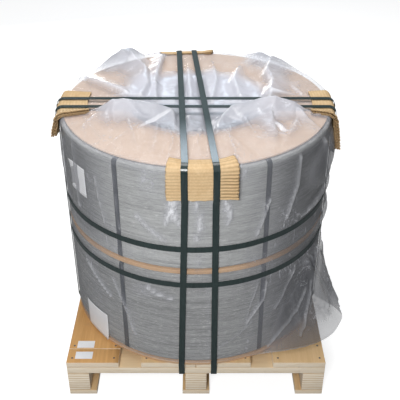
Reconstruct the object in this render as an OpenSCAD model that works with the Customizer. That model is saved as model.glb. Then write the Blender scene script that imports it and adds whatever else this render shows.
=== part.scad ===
// Two coils of steel wire stacked on a wooden pallet, in a clear film bag,
// held down by straps over corrugated edge pads.
// +Z is up and z = 0 is the floor. The front of the load faces -Y.

/* [Pallet] */
// How far the coils overhang the pallet, at its left and right
side_overhang = 10; // [0:1:20]
// How far the coils overhang the pallet, at its front and back
front_overhang = 10; // [0:1:20]
// Width of a deck board
deck_board_w = 170; // [120:1:180]
// Thickness of a deck board
deck_board_t = 22; // [16:1:30]
// Width of a middle deck board
middle_board_w = 177; // [120:1:180]
// Gap between the two middle deck boards
deck_gap = 2; // [1:1:40]
// Width of a cross board under the deck
cross_board_w = 100; // [90:1:130]
// Thickness of a cross board
cross_board_t = 26; // [18:1:32]
// Width of a block, left to right
block_w = 70; // [60:1:90]
// Length of a block, front to back
block_d = 90; // [70:1:100]
// Height of a block
block_h = 78; // [70:1:100]
// Width of a bottom board
bottom_board_w = 90; // [80:1:120]
// Thickness of a bottom board
bottom_board_t = 18; // [14:1:25]

/* [Coils] */
// Outer diameter of both coils
coil_od = 860; // [780:5:900]
// Diameter of the bore of both coils
coil_bore = 440; // [380:5:520]
// Height of the lower coil
lower_coil_h = 356; // [280:1:400]
// Height of the upper coil
upper_coil_h = 338; // [280:1:400]
// Radius of the rounded shoulders of a coil
coil_shoulder = 14; // [6:1:30]

/* [Rings] */
// Thickness of the ring under the lower coil
base_ring_t = 12; // [6:1:20]
// Thickness of the ring between the coils
middle_ring_t = 14; // [6:1:20]
// How far the cover stays back from the edge of the upper coil
cover_back = 12; // [4:1:40]
// How far the cover reaches over the edge of the bore
cover_lap = 5; // [0:1:20]
// Thickness of the cover
cover_t = 6; // [3:1:12]

/* [Bands] */
// Number of bands round each coil
band_count = 6; // [4:1:8]
// Angle of the first band from the front, towards the right
band_angle = 28.5; // [0:0.5:45]
// Width of a band
band_w = 16; // [10:1:20]
// Thickness of a band
band_t = 0.8; // [0.5:0.1:1.2]

/* [Film bag] */
// Thickness of the film wall
film_t = 1; // [0.6:0.1:1.5]
// Radius of the film over the top shoulder
film_shoulder = 14; // [8:1:30]
// Depth to which the film sinks into the bore
film_sag = 50; // [20:1:120]
// How far the loose tail of the film stands out
tail_out = 98; // [60:1:140]
// Height of the tail's hem above the deck
tail_hem = 30; // [20:1:60]
// Angle from the front at which the tail begins
tail_from = 36; // [25:1:37]
// Angle that the tail covers
tail_sweep = 42; // [30:1:43]
// Rise of the air trapped under the film behind the side straps
back_puff_rise = 50; // [46:1:60]
// Rise of the film bunched up in front of the side straps
front_puff_rise = 30; // [20:1:35]
// How far the film bellies out below the rim on the right
side_puff_out = 18; // [8:1:22]

/* [Edge pads] */
// Thickness of a pad
pad_t = 8; // [4:1:12]
// Width of a pad along the rim
pad_w = 194; // [150:1:240]
// How far the front pad hangs down the side
front_pad_drop = 100; // [60:1:150]
// How far the front pad reaches in over the top
front_pad_reach = 36; // [28:1:120]
// How far the back pad hangs down the side
back_pad_drop = 90; // [60:1:150]
// How far the back pad reaches in over the top
back_pad_reach = 30; // [28:1:120]
// How far the left pad hangs down the side
left_pad_drop = 60; // [50:1:150]
// How far the left pad reaches in over the top
left_pad_reach = 92; // [28:1:120]
// How far the right pad hangs down the side
right_pad_drop = 104; // [60:1:150]
// How far the right pad reaches in over the top
right_pad_reach = 66; // [28:1:120]

/* [Straps] */
// Width of a strap
strap_w = 19; // [12:1:25]
// Thickness of a strap
strap_t = 1; // [0.6:0.1:1.5]
// Drop from the middle ring to the lower girth strap
girth_below = 45; // [30:1:90]
// Rise from the middle ring to the upper girth strap
girth_above = 85; // [30:1:110]
// Gap from the middle blocks to the left strap under the deck
left_strap_gap = 1.5; // [1:0.5:10]
// Gap from the middle blocks to the right strap under the deck
right_strap_gap = 13.5; // [1:0.5:25]
// Gap from the middle cross board to the side straps
side_strap_gap = 3; // [1:0.5:10]

/* [Labels] */
// Width of the label on the lower coil
low_label_w = 118; // [60:1:150]
// Height of the label on the lower coil
low_label_h = 106; // [50:1:140]
// Width of the label on the upper coil
high_label_w = 91; // [60:1:150]
// Height of the label on the upper coil
high_label_h = 98; // [50:1:140]
// Width of a sticker on the deck
sticker_w = 56; // [30:1:80]
// Depth of a sticker on the deck
sticker_d = 32; // [20:1:40]
// Thickness of a label
label_t = 0.3; // [0.2:0.1:0.5]

/* [Hidden] */
// Gap that keeps neighbouring pieces apart
fit = 0.3;
// Gap between a band and its coil
band_fit = 0.2;
deck_boards = 4;
// Angles from the front of the pieces that the rim carries
pad_front_angle = 2.6;
pad_back_angle = -4.9;
pad_side_angle = 4.8;
low_label_angle = -49.5;
high_label_angle = -54.2;
// Angles of the straps where they pass over the rim, at the front and at the back
left_strap_angles = [-3.8, -8.6];
right_strap_angles = [7.6, -1.2];
near_strap_angles = [9, 9];
far_strap_angles = [0.7, 0.7];
// Height by which the tail is let into the wall, and the angle of the slit beside it
tail_lip = 5;
tail_slit = 0.3;
// Stretch beside the middle of the top where the front straps ride over the side straps
crossing_half = 150;
// Drop below a pad in which a strap comes back to the film
pad_lead = 14;
// Steps of the strap up the side, and round the rim
side_steps = 6;
rim_steps = 6;
shoulder_steps = 6;
// Sides of a pocket of air under the film
puff_sides = 48;
// Half width of the film's belly on the right, its angle, and its middle's drop below the rim
side_puff_half = 68;
side_puff_angle = 62;
side_puff_below = 118;
// Height of the upper label's middle above the foot of its coil
high_label_rise = 210;
// Places of the stickers on the left deck board, from its front left corner
sticker_in = 26;
sticker_spots = [34, 84];

// Heights, from the floor up
block_z = bottom_board_t;
cross_z = block_z + block_h;
deck_z = cross_z + cross_board_t;
deck_top = deck_z + deck_board_t;
band_gap = band_t + 2 * band_fit;
lower_coil_z = deck_top + base_ring_t + band_gap;
middle_ring_z = lower_coil_z + lower_coil_h + band_gap;
upper_coil_z = middle_ring_z + middle_ring_t + band_gap;
cover_z = upper_coil_z + upper_coil_h + band_gap;
film_top = cover_z + cover_t + fit + film_t;
film_hem = deck_top + base_ring_t;
ring_mid = middle_ring_z + middle_ring_t / 2;
girth_low = ring_mid - girth_below;
girth_high = ring_mid + girth_above;
tail_z = girth_low - strap_w;

// The pallet is made to the size of the coils
pallet_w = coil_od - 2 * side_overhang;
pallet_d = coil_od - 2 * front_overhang;
cover_od = coil_od - 2 * cover_back;
cover_hole = coil_bore - 2 * cover_lap;

// Radii, from the coil outwards
coil_r = coil_od / 2;
bore_r = coil_bore / 2;
film_in = coil_r + band_fit + band_t + fit;
film_r = film_in + film_t;
girth_r = film_r + fit;
run_r = girth_r + strap_t + fit;
pad_r = film_r + fit;
// Centre of the round over the top rim, shared by the film, the pads and the straps
rim_r = film_r - film_shoulder;
rim_z = film_top - film_shoulder;
strap_rim = film_shoulder + pad_t + 2 * fit;
high_label_foot = upper_coil_z + high_label_rise - high_label_h / 2;

pine = [0.83, 0.66, 0.45];
fibreboard = [0.78, 0.60, 0.42];
card = [0.80, 0.62, 0.40];
wire_grey = [0.55, 0.56, 0.57];
band_grey = [0.28, 0.30, 0.32];
strap_green = [0.10, 0.15, 0.15];
film_clear = [0.86, 0.87, 0.92, 0.35];
paper = [0.93, 0.94, 0.95];

// A point at an angle from the front of the load, at radius r and height z
function around(angle, r, z) = [r * sin(angle), -r * cos(angle), z];

// A quarter round from angle a0 to a1 about the point c
function arc(c, r, a0, a1, steps) =
    [for (i = [0 : steps]) let (a = a0 + (a1 - a0) * i / steps) c + r * [cos(a), sin(a)]];

// A rectangle from [x0, y0] to [x1, y1] with round corners
function round_box(x0, y0, x1, y1, r) = concat(
    arc([x1 - r, y1 - r], r, 0, 90, shoulder_steps),
    arc([x0 + r, y1 - r], r, 90, 180, shoulder_steps),
    arc([x0 + r, y0 + r], r, 180, 270, shoulder_steps),
    arc([x1 - r, y0 + r], r, 270, 360, shoulder_steps)
);

// Outline of a coil's cross-section, widened by out
function coil_outline(z, h, out) =
    round_box(bore_r - out, z - out, coil_r + out, z + h + out, coil_shoulder + out);

module ring(outer_d, hole_d, t) {
    difference() {
        cylinder(d = outer_d, h = t, $fn = 180);
        translate([0, 0, -1])
            cylinder(d = hole_d, h = t + 2, $fn = 120);
    }
}

// Pallet

module deck_board(i) {
    outer = pallet_w / 2 - deck_board_w;
    inner = deck_gap / 2;
    x = [-outer - deck_board_w, -inner - middle_board_w, inner, outer][i - 1];
    w = [deck_board_w, middle_board_w, middle_board_w, deck_board_w][i - 1];
    color(pine)
        translate([x, -pallet_d / 2, deck_z])
            cube([w, pallet_d, deck_board_t]);
}

module cross_board(i) {
    y = (i - 2) * (pallet_d - cross_board_w) / 2;
    color(pine)
        translate([-pallet_w / 2, y - cross_board_w / 2, cross_z])
            cube([pallet_w, cross_board_w, cross_board_t]);
}

module block(i) {
    column = (i - 1) % 3 - 1;
    row = floor((i - 1) / 3) - 1;
    x = column * (pallet_w - block_w) / 2;
    y = row * (pallet_d - block_d) / 2;
    color(pine)
        translate([x - block_w / 2, y - block_d / 2, block_z])
            cube([block_w, block_d, block_h]);
}

module bottom_board(i) {
    x = (i - 2) * (pallet_w - bottom_board_w) / 2;
    color(pine)
        translate([x - bottom_board_w / 2, -pallet_d / 2, 0])
            cube([bottom_board_w, pallet_d, bottom_board_t]);
}

// Coils, the rings between them and their bands

module coil(z, h) {
    color(wire_grey)
        rotate_extrude($fn = 180)
            polygon(coil_outline(z, h, 0));
}

module stack_ring(z, t) {
    color(fibreboard)
        translate([0, 0, z])
            ring(coil_od, coil_bore, t);
}

module cover_ring() {
    color(card)
        translate([0, 0, cover_z])
            ring(cover_od, cover_hole, cover_t);
}

// One band, a closed loop through the bore and round the outside of a coil
module coil_band(z, h, i) {
    turn = band_angle + (i - 1) * 360 / band_count - 90;
    color(band_grey)
        rotate([0, 0, turn])
            rotate([90, 0, 0])
                translate([0, 0, -band_w / 2])
                    linear_extrude(band_w)
                        difference() {
                            polygon(coil_outline(z, h, band_fit + band_t));
                            polygon(coil_outline(z, h, band_fit));
                        }
}

// Film bag: a wall round the coils, a top that sinks into the bore, and a loose tail

// The film's line over the rim and down into the bore.
// The inset is how far the line lies inside the outer face of the film.
function film_line(inset) = concat(
    arc([rim_r, rim_z], film_shoulder - inset, 0, 90, shoulder_steps),
    [[cover_hole / 2 - inset, film_top - inset], [0, film_top - film_sag - inset]]
);

// A shape revolved over the tail's angle, and over spare more on either side
module tail_sector(profile, spare) {
    rotate([0, 0, tail_from - spare - 90])
        rotate_extrude(angle = tail_sweep + 2 * spare, $fn = 180)
            polygon(profile);
}

// Pockets of trapped air that lift the film: [middle, length, turn, half width, rise]
puffs = [
    [around(-141, 310, film_top), 60, -141, 95, back_puff_rise],
    [around(142, 313, film_top), 56, 142, 88, back_puff_rise - 8],
    [[-188, -134, film_top], 130, 4, 48, front_puff_rise],
    [[205, -136, film_top], 140, -4, 50, front_puff_rise],
    [[-165, 86, film_top], 40, 0, 66, front_puff_rise - 8],
    [[160, 98, film_top], 30, 0, 78, front_puff_rise - 4]
];

// Radius of a round that is half wide to either side where it comes out, and rises by rise
function cap_r(half, rise) = (half * half + rise * rise) / (2 * rise);

// The pockets, each smaller all round by inset
module film_puffs(inset) {
    for (p = puffs) {
        r = cap_r(p[3], p[4]);
        translate(p[0] + [0, 0, p[4] - r])
            rotate([0, 0, p[2]]) {
                rotate([0, 90, 0])
                    cylinder(r = r - inset, h = p[1], center = true, $fn = puff_sides);
                for (side = [-1, 1])
                    translate([side * p[1] / 2, 0, 0])
                        sphere(r - inset, $fn = puff_sides);
            }
    }
    belly = cap_r(side_puff_half, side_puff_out);
    translate(around(side_puff_angle, film_r + side_puff_out - belly, rim_z - side_puff_below))
        sphere(belly - inset, $fn = puff_sides);
}

// The bag as if it were solid, smaller all round by inset, and open below by that much
module film_body(inset) {
    rotate_extrude($fn = 180)
        polygon(concat([[0, film_hem - inset], [film_r - inset, film_hem - inset]], film_line(inset)));
    film_puffs(inset);
}

module film_bag() {
    hem_z = deck_top + tail_hem;
    clear = 2 * film_t;
    // The tail is a little thinner than the wall, and its top is let into the wall
    inner = film_in + film_t / 5;
    outer = film_r - film_t / 5;
    lip_z = tail_z + tail_lip;
    color(film_clear)
        union() {
            difference() {
                film_body(0);
                film_body(film_t);
                tail_sector([
                    [film_in - clear, film_hem - clear], [film_r + clear, film_hem - clear],
                    [film_r + clear, tail_z], [film_in - clear, tail_z]
                ], tail_slit);
            }
            tail_sector([
                [inner, lip_z], [inner, tail_z], [inner + tail_out, hem_z],
                [outer + tail_out, hem_z], [outer, tail_z], [outer, lip_z]
            ], 0);
        }
}

// Edge pads, bent over the rim. The turn says which side of the load a pad is on.
module edge_pad(angle, turn, drop, reach) {
    sweep = pad_w / pad_r * 180 / PI;
    inner = film_shoulder + fit;
    outer = inner + pad_t;
    reach_r = film_r - reach;
    pad_foot = film_top - drop;
    color(card)
        rotate([0, 0, turn + angle - sweep / 2 - 90])
            rotate_extrude(angle = sweep, $fn = 180)
                polygon(concat(
                    [[pad_r, pad_foot], [pad_r + pad_t, pad_foot]],
                    arc([rim_r, rim_z], outer, 0, 90, rim_steps),
                    [[reach_r, rim_z + outer], [reach_r, rim_z + inner]],
                    arc([rim_r, rim_z], inner, 90, 0, rim_steps)
                ));
}

// Straps

module girth_strap(height) {
    color(strap_green)
        translate([0, 0, height - strap_w / 2])
            rotate_extrude($fn = 180)
                translate([girth_r, 0])
                    square([strap_t, strap_w]);
}

// Stations of one side of a strap, from under the deck up to the top run.
// A station is [inner point, outward direction, direction across the strap].
function strap_side(low_x, top_angle, drop, edge, under) =
    let (
        foot = max(run_r, edge + fit),
        low_angle = asin(low_x / foot),
        pad_foot = film_top - drop,
        lead_z = pad_foot - pad_lead,
        pad_in = pad_r + pad_t + fit,
        top_out = [sin(top_angle), -cos(top_angle), 0],
        top_across = [cos(top_angle), sin(top_angle), 0]
    )
    concat(
        [[[low_x, -edge - fit, under - fit], [0, -1, -1], [1, 0, 0]]],
        [for (i = [0 : side_steps])
            let (
                share = i / side_steps,
                a = low_angle + (top_angle - low_angle) * share,
                r = foot + (run_r - foot) * share,
                z = deck_top + (lead_z - deck_top) * share
            )
            [around(a, r, z), [sin(a), -cos(a), 0], [cos(a), sin(a), 0]]],
        [[around(top_angle, pad_in, pad_foot - fit), top_out, top_across]],
        [for (i = [0 : rim_steps])
            let (
                a = 90 * i / rim_steps,
                place = [rim_r, rim_z] + strap_rim * [cos(a), sin(a)]
            )
            [around(top_angle, place[0], place[1]), cos(a) * top_out + [0, 0, sin(a)], top_across]]
    );

function reversed(list) = [for (i = [len(list) - 1 : -1 : 0]) list[i]];

// The same stations seen from behind, in the order that takes the loop on round
function turned_back(stations) = reversed([
    for (s = stations) [
        [s[0][0], -s[0][1], s[0][2]], [s[1][0], -s[1][1], s[1][2]], [s[2][0], -s[2][1], s[2][2]]
    ]
]);

// The top run, raised by rise on either side of the middle
function strap_top(front, back, rise) =
    let (from = front[len(front) - 1], to = back[0], span = norm(to[0] - from[0]))
    [for (side = [-1, 1])
        let (share = 0.5 + side * crossing_half / span)
        [from[0] + (to[0] - from[0]) * share + [0, 0, rise], [0, 0, 1],
            from[2] + (to[2] - from[2]) * share]];

// A closed strap through the stations, with a rectangular section
module strap_loop(stations) {
    n = len(stations);
    points = [
        for (s = stations, k = [0 : 3])
            let (across = (k == 0 || k == 3 ? -1 : 1) * strap_w / 2, out = k < 2 ? 0 : strap_t)
            s[0] + across * s[2] + out * s[1]
    ];
    faces = [
        for (i = [0 : n - 1], k = [0 : 3], half = [0, 1])
            let (
                a = 4 * i + k,
                b = 4 * i + (k + 1) % 4,
                c = 4 * ((i + 1) % n) + (k + 1) % 4,
                d = 4 * ((i + 1) % n) + k
            )
            half == 0 ? [a, b, c] : [a, c, d]
    ];
    color(strap_green)
        polyhedron(points, faces);
}

// A strap over the load. It goes under the deck at low_x, and over the rim at the two angles,
// on pads that hang down by the two drops.
module load_strap(low_x, angles, drops, edge, under, rise) {
    front = strap_side(low_x, angles[0], drops[0], edge, under);
    back = turned_back(strap_side(low_x, angles[1], drops[1], edge, under));
    strap_loop(concat(front, strap_top(front, back, rise), back));
}

module front_strap(low_x, angles) {
    drops = [front_pad_drop, back_pad_drop];
    load_strap(low_x, angles, drops, pallet_d / 2, cross_z, strap_t + 2 * fit);
}

module side_strap(side, angles) {
    low_x = side * (cross_board_w / 2 + side_strap_gap + strap_w / 2);
    drops = [left_pad_drop, right_pad_drop];
    rotate([0, 0, -90])
        load_strap(low_x, angles, drops, pallet_w / 2, deck_z, 0);
}

// Labels

module wrap_label(w, h, angle, z) {
    sweep = w / film_r * 180 / PI;
    color(paper)
        rotate([0, 0, angle - sweep / 2 - 90])
            rotate_extrude(angle = sweep, $fn = 180)
                translate([girth_r, z])
                    square([label_t, h]);
}

module sticker(i) {
    x = sticker_in - pallet_w / 2;
    y = sticker_spots[i - 1] - (pallet_d + sticker_d) / 2;
    color(paper)
        translate([x, y, deck_top])
            cube([sticker_w, sticker_d, label_t]);
}

for (i = [1 : deck_boards])
    deck_board(i);
for (i = [1 : 3])
    cross_board(i);
for (i = [1 : 9])
    block(i);
for (i = [1 : 3])
    bottom_board(i);
stack_ring(deck_top, base_ring_t);  // base_ring
coil(lower_coil_z, lower_coil_h);  // lower_coil
stack_ring(middle_ring_z, middle_ring_t);  // middle_ring
coil(upper_coil_z, upper_coil_h);  // upper_coil
cover_ring();
for (i = [1 : band_count])
    coil_band(lower_coil_z, lower_coil_h, i);
for (i = [1 : band_count])
    coil_band(upper_coil_z, upper_coil_h, i);
film_bag();
edge_pad(pad_front_angle, 0, front_pad_drop, front_pad_reach);  // edge_pad_front
edge_pad(-pad_back_angle, 180, back_pad_drop, back_pad_reach);  // edge_pad_back
edge_pad(pad_side_angle, -90, left_pad_drop, left_pad_reach);  // edge_pad_left
edge_pad(-pad_side_angle, 90, right_pad_drop, right_pad_reach);  // edge_pad_right
girth_strap(girth_low);  // girth_strap_lower
girth_strap(girth_high);  // girth_strap_upper
front_strap(-block_w / 2 - left_strap_gap - strap_w / 2, left_strap_angles);  // strap_front_left
front_strap(block_w / 2 + right_strap_gap + strap_w / 2, right_strap_angles);  // strap_front_right
side_strap(1, near_strap_angles);  // strap_side_near
side_strap(-1, far_strap_angles);  // strap_side_far
wrap_label(low_label_w, low_label_h, low_label_angle, film_hem + fit);  // label_lower
wrap_label(high_label_w, high_label_h, high_label_angle, high_label_foot);  // label_upper
sticker(1);  // sticker_1
sticker(2);  // sticker_2
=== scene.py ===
import math

import bmesh
import bpy
import numpy as np
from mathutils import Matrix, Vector, noise


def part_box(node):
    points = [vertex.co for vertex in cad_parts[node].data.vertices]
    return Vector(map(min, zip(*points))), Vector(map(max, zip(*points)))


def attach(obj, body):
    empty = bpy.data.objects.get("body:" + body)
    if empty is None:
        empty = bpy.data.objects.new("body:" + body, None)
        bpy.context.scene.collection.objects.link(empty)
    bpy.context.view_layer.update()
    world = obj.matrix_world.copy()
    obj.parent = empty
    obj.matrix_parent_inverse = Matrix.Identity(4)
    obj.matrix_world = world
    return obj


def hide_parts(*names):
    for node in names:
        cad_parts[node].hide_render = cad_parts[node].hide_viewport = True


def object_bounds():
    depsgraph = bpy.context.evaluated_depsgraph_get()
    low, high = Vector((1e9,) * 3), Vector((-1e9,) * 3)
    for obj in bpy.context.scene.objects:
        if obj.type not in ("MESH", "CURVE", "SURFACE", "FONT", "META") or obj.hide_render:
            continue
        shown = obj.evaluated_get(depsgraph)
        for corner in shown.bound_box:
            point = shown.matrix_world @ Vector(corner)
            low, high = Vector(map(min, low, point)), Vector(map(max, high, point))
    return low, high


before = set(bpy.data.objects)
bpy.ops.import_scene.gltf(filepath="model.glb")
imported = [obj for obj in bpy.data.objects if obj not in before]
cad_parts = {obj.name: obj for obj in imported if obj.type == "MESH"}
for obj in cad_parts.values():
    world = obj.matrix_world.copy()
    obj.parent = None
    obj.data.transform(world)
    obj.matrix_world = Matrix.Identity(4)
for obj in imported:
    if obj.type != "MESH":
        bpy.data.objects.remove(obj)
cadLow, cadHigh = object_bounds()
print("frame loaded")

# Heights and radii of the stack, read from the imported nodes
stack = {
    "deckTop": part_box("deck_board_1")[1].z,
    "deckUnder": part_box("deck_board_1")[0].z,
    "crossUnder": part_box("cross_board_1")[0].z,
    "palletHalf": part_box("deck_board_4")[1].x,
    "coilR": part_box("lower_coil")[1].x,
    "coverTop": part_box("cover_ring")[1].z,
    "filmFoot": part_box("base_ring")[1].z,
    "boreR": 0.220,
    "filmGap": 0.0013,  # coil to the inner face of the film
    "filmOut": 0.0023,  # coil to the outer face of the film
    "rimRound": 0.014,
    "fit": 0.0003,
}
stack["filmTop"] = stack["coverTop"] + stack["filmGap"]
stack["filmR"] = stack["coilR"] + stack["filmOut"]
stack["rimR"] = stack["filmR"] - stack["rimRound"]
stack["rimZ"] = stack["filmTop"] - stack["rimRound"]


# Camera, at the photograph's place and angle
viewFrom = {"place": (0.0133, -2.0451, 1.8034), "pitch": 57.5, "lens": 63.0, "sensor": 36.0}


def setCamera():
    data = bpy.data.cameras.new("loadCamera")
    data.lens = viewFrom["lens"]
    data.sensor_width = viewFrom["sensor"]
    camera = bpy.data.objects.new("loadCamera", data)
    camera.location = viewFrom["place"]
    camera.rotation_euler = (math.radians(viewFrom["pitch"]), 0.0, 0.0)
    bpy.context.scene.collection.objects.link(camera)
    bpy.context.scene.camera = camera


setCamera()
print("camera set")


# A socket that takes part in Python expressions
class Sock:
    def __init__(self, bench, socket):
        self.bench = bench
        self.socket = socket

    def maths(self, operation, first, second):
        return self.bench.maths(operation, first, second)

    def __add__(self, other):
        return self.maths("ADD", self, other)

    def __radd__(self, other):
        return self.maths("ADD", other, self)

    def __sub__(self, other):
        return self.maths("SUBTRACT", self, other)

    def __rsub__(self, other):
        return self.maths("SUBTRACT", other, self)

    def __mul__(self, other):
        return self.maths("MULTIPLY", self, other)

    def __rmul__(self, other):
        return self.maths("MULTIPLY", other, self)


# The nodes of one material or world
class Bench:
    def __init__(self, tree):
        self.tree = tree

    def node(self, kind, settings, inputs, output=0):
        made = self.tree.nodes.new(kind)
        for name, value in settings.items():
            if name == "stops":
                self.setStops(made.color_ramp, value)
            else:
                setattr(made, name, value)
        for name, value in inputs.items():
            if isinstance(value, Sock):
                self.tree.links.new(value.socket, made.inputs[name])
            else:
                made.inputs[name].default_value = value
        return Sock(self, made.outputs[output])

    def setStops(self, ramp, stops):
        while len(ramp.elements) < len(stops):
            ramp.elements.new(0.5)
        for element, (place, colour) in zip(ramp.elements, stops):
            element.position = place
            element.color = (*colour, 1.0)

    def maths(self, operation, first, second=0.0):
        return self.node("ShaderNodeMath", {"operation": operation}, {0: first, 1: second})

    def place(self):
        return self.node("ShaderNodeTexCoord", {}, {}, "Object")

    def field(self, name):
        return self.node("ShaderNodeAttribute", {"attribute_name": name}, {}, "Fac")

    def ray(self, kind):
        return self.node("ShaderNodeLightPath", {}, {}, kind)

    def stretch(self, vector, scale):
        return self.node("ShaderNodeMapping", {}, {"Vector": vector, "Scale": scale})

    def cloud(self, vector, scale, detail=3.0, roughness=0.5, warp=0.0):
        inputs = {
            "Vector": vector, "Scale": scale, "Detail": detail, "Roughness": roughness, "Distortion": warp,
        }
        return self.node("ShaderNodeTexNoise", {}, inputs, "Fac")

    def ramp(self, factor, stops):
        return self.node("ShaderNodeValToRGB", {"stops": stops}, {"Fac": factor})

    def step(self, value, low, high, fromValue=0.0, toValue=1.0):
        settings = {"interpolation_type": "SMOOTHSTEP"}
        inputs = {0: value, 1: low, 2: high, 3: fromValue, 4: toValue}
        return self.node("ShaderNodeMapRange", settings, inputs)

    def tint(self, factor, first, second):
        return self.node("ShaderNodeMix", {"data_type": "RGBA"}, {0: factor, 6: first, 7: second}, 2)

    def split(self, vector, axis):
        return self.node("ShaderNodeSeparateXYZ", {}, {"Vector": vector}, axis)

    def bump(self, height, strength, distance):
        inputs = {"Height": height, "Strength": strength, "Distance": distance}
        return self.node("ShaderNodeBump", {}, inputs, "Normal")


def newFinish(name, fixed):
    material = bpy.data.materials.new(name)
    material.use_nodes = True
    bench = Bench(material.node_tree)
    bench.material = material
    bench.shader = material.node_tree.nodes["Principled BSDF"]
    for label, value in fixed.items():
        bench.shader.inputs[label].default_value = value
    return bench


def feed(bench, links):
    for label, sock in links.items():
        bench.tree.links.new(sock.socket, bench.shader.inputs[label])
    return bench.material


def shade(r, g, b):
    return (r, g, b, 1.0)


# Sawn boards: grain along one axis, layered edges
def woodFinish(name, along, pale, dark, layers):
    bench = newFinish(name, {"Specular IOR Level": 0.25})
    place = bench.place()
    scale = [34.0, 34.0, 34.0]
    scale[along] = 2.2
    fine = [420.0, 420.0, 420.0]
    fine[along] = 14.0
    grain = bench.cloud(bench.stretch(place, scale), 1.0, 5.0, 0.62, 0.9)
    fibre = bench.cloud(bench.stretch(place, fine), 1.0, 2.0, 0.6)
    patch = bench.cloud(place, 5.5, 3.0, 0.5)
    wide = bench.stretch(place, [s / 5.5 for s in scale])
    knot = bench.node("ShaderNodeTexVoronoi", {}, {"Vector": wide, "Scale": 1.0}, "Distance")
    tone = grain * 0.62 + fibre * 0.26 + patch * 0.12
    middle = [(a + b) / 2 for a, b in zip(pale, dark)]
    face = bench.ramp(tone, [(0.28, dark), (0.46, middle), (0.66, pale)])
    ringDark = bench.step(knot, 0.02, 0.13, 0.55, 0.0)
    face = bench.tint(ringDark, face, shade(*[0.45 * c for c in dark]))
    normal = bench.node("ShaderNodeNewGeometry", {}, {}, "Normal")
    upright = bench.maths("ABSOLUTE", bench.split(normal, "Z"))
    edge = bench.step(upright, 0.35, 0.75, 1.0, 0.0)
    layer = bench.node(
        "ShaderNodeTexWave",
        {"bands_direction": "Z", "wave_profile": "SIN"},
        {"Vector": place, "Scale": layers, "Distortion": 1.6, "Detail": 2.0, "Detail Scale": 0.35},
        "Fac",
    )
    streak = bench.cloud(bench.stretch(place, (16.0, 16.0, 330.0)), 1.0, 3.0, 0.6)
    cut = [(0.24, (0.62, 0.48, 0.32)), (0.52, (0.88, 0.78, 0.62)), (0.8, (0.95, 0.89, 0.78))]
    side = bench.ramp(layer * 0.45 + streak * 0.6, cut)
    colour = bench.tint(edge * 0.85, face, side)
    dirt = bench.step(bench.cloud(place, 19.0, 4.0, 0.65), 0.58, 0.78, 0.0, 0.28)
    colour = bench.tint(dirt, colour, shade(0.33, 0.24, 0.16))
    relief = grain * 0.5 + fibre * 0.5 + layer * edge * 0.5
    return feed(bench, {
        "Base Color": colour,
        "Roughness": 0.62 + fibre * 0.25,
        "Normal": bench.bump(relief, 0.35, 0.0012),
    })


# Board rings: raw pressed board with a furry edge
def boardFinish(name, pale, dark):
    bench = newFinish(name, {"Specular IOR Level": 0.2})
    place = bench.place()
    fleck = bench.cloud(place, 260.0, 3.0, 0.7)
    cloudy = bench.cloud(place, 9.0, 4.0, 0.6)
    layer = bench.cloud(bench.stretch(place, (7.0, 7.0, 420.0)), 1.0, 3.0, 0.6)
    tone = fleck * 0.3 + cloudy * 0.35 + layer * 0.35
    return feed(bench, {
        "Base Color": bench.ramp(tone, [(0.32, dark), (0.62, pale)]),
        "Roughness": 0.7 + fleck * 0.2,
        "Normal": bench.bump(fleck * 0.5 + layer * 0.5, 0.3, 0.0008),
    })


# Kraft card of the cover and the pads
def cardFinish(name, pale, dark, shadowed):
    bench = newFinish(name, {"Specular IOR Level": 0.2})
    place = bench.place()
    fibre = bench.cloud(bench.stretch(place, (180.0, 60.0, 180.0)), 1.0, 3.0, 0.65)
    cloudy = bench.cloud(place, 11.0, 4.0, 0.6)
    colour = bench.ramp(fibre * 0.45 + cloudy * 0.55, [(0.33, dark), (0.63, pale)])
    if shadowed:
        # Painted shade: the pads' card is darker in the flute hollows and on the inner sheets
        hollow = bench.field("hollow")
        colour = bench.tint(hollow * 0.8, colour, shade(*[0.42 * c for c in dark]))
    return feed(bench, {
        "Base Color": colour,
        "Roughness": 0.72 + fibre * 0.18,
        "Normal": bench.bump(fibre, 0.22, 0.0006),
    })


# Drawn wire: satin steel with streaks that run round the coil
def wireFinish(name, pale, dark):
    bench = newFinish(name, {"Metallic": 0.08, "Specular IOR Level": 0.12})
    place = bench.place()
    strand = bench.cloud(bench.stretch(place, (6.0, 6.0, 420.0)), 1.0, 3.0, 0.65, 0.12)
    broad = bench.cloud(bench.stretch(place, (1.6, 1.6, 75.0)), 1.0, 3.0, 0.55, 0.08)
    fine = bench.cloud(bench.stretch(place, (34.0, 34.0, 900.0)), 1.0, 3.0, 0.6)
    patch = bench.cloud(place, 3.4, 3.0, 0.5)
    tone = strand * 0.34 + broad * 0.14 + fine * 0.40 + patch * 0.12
    # Painted glints: sparse specks of the wire tinted towards white, with a lower roughness
    spark = bench.cloud(bench.stretch(place, (60.0, 60.0, 620.0)), 1.0, 2.0, 0.5)
    glint = bench.step(spark, 0.61, 0.72)
    middle = [(a + b) / 2 for a, b in zip(pale, dark)]
    colour = bench.ramp(tone, [(0.39, dark), (0.5, middle), (0.61, pale)])
    return feed(bench, {
        "Base Color": bench.tint(glint * 0.45, colour, shade(0.80, 0.80, 0.80)),
        "Roughness": 0.52 - glint * 0.16 + patch * 0.08,
        "Normal": bench.bump(strand * 0.5 + fine * 0.5, 0.5, 0.0012),
    })


# Painted steel bands
def bandFinish(name):
    bench = newFinish(name, {"Metallic": 0.2, "Specular IOR Level": 0.4})
    place = bench.place()
    scuff = bench.cloud(bench.stretch(place, (55.0, 55.0, 9.0)), 1.0, 4.0, 0.65)
    speck = bench.cloud(place, 320.0, 2.0, 0.6)
    worn = bench.step(scuff * 0.7 + speck * 0.3, 0.56, 0.7)
    colour = bench.ramp(scuff, [(0.3, (0.060, 0.068, 0.078)), (0.7, (0.098, 0.106, 0.116))])
    return feed(bench, {
        "Base Color": bench.tint(worn * 0.45, colour, shade(0.26, 0.26, 0.26)),
        "Roughness": 0.42 + scuff * 0.25,
        "Normal": bench.bump(speck, 0.12, 0.0004),
    })


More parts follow.
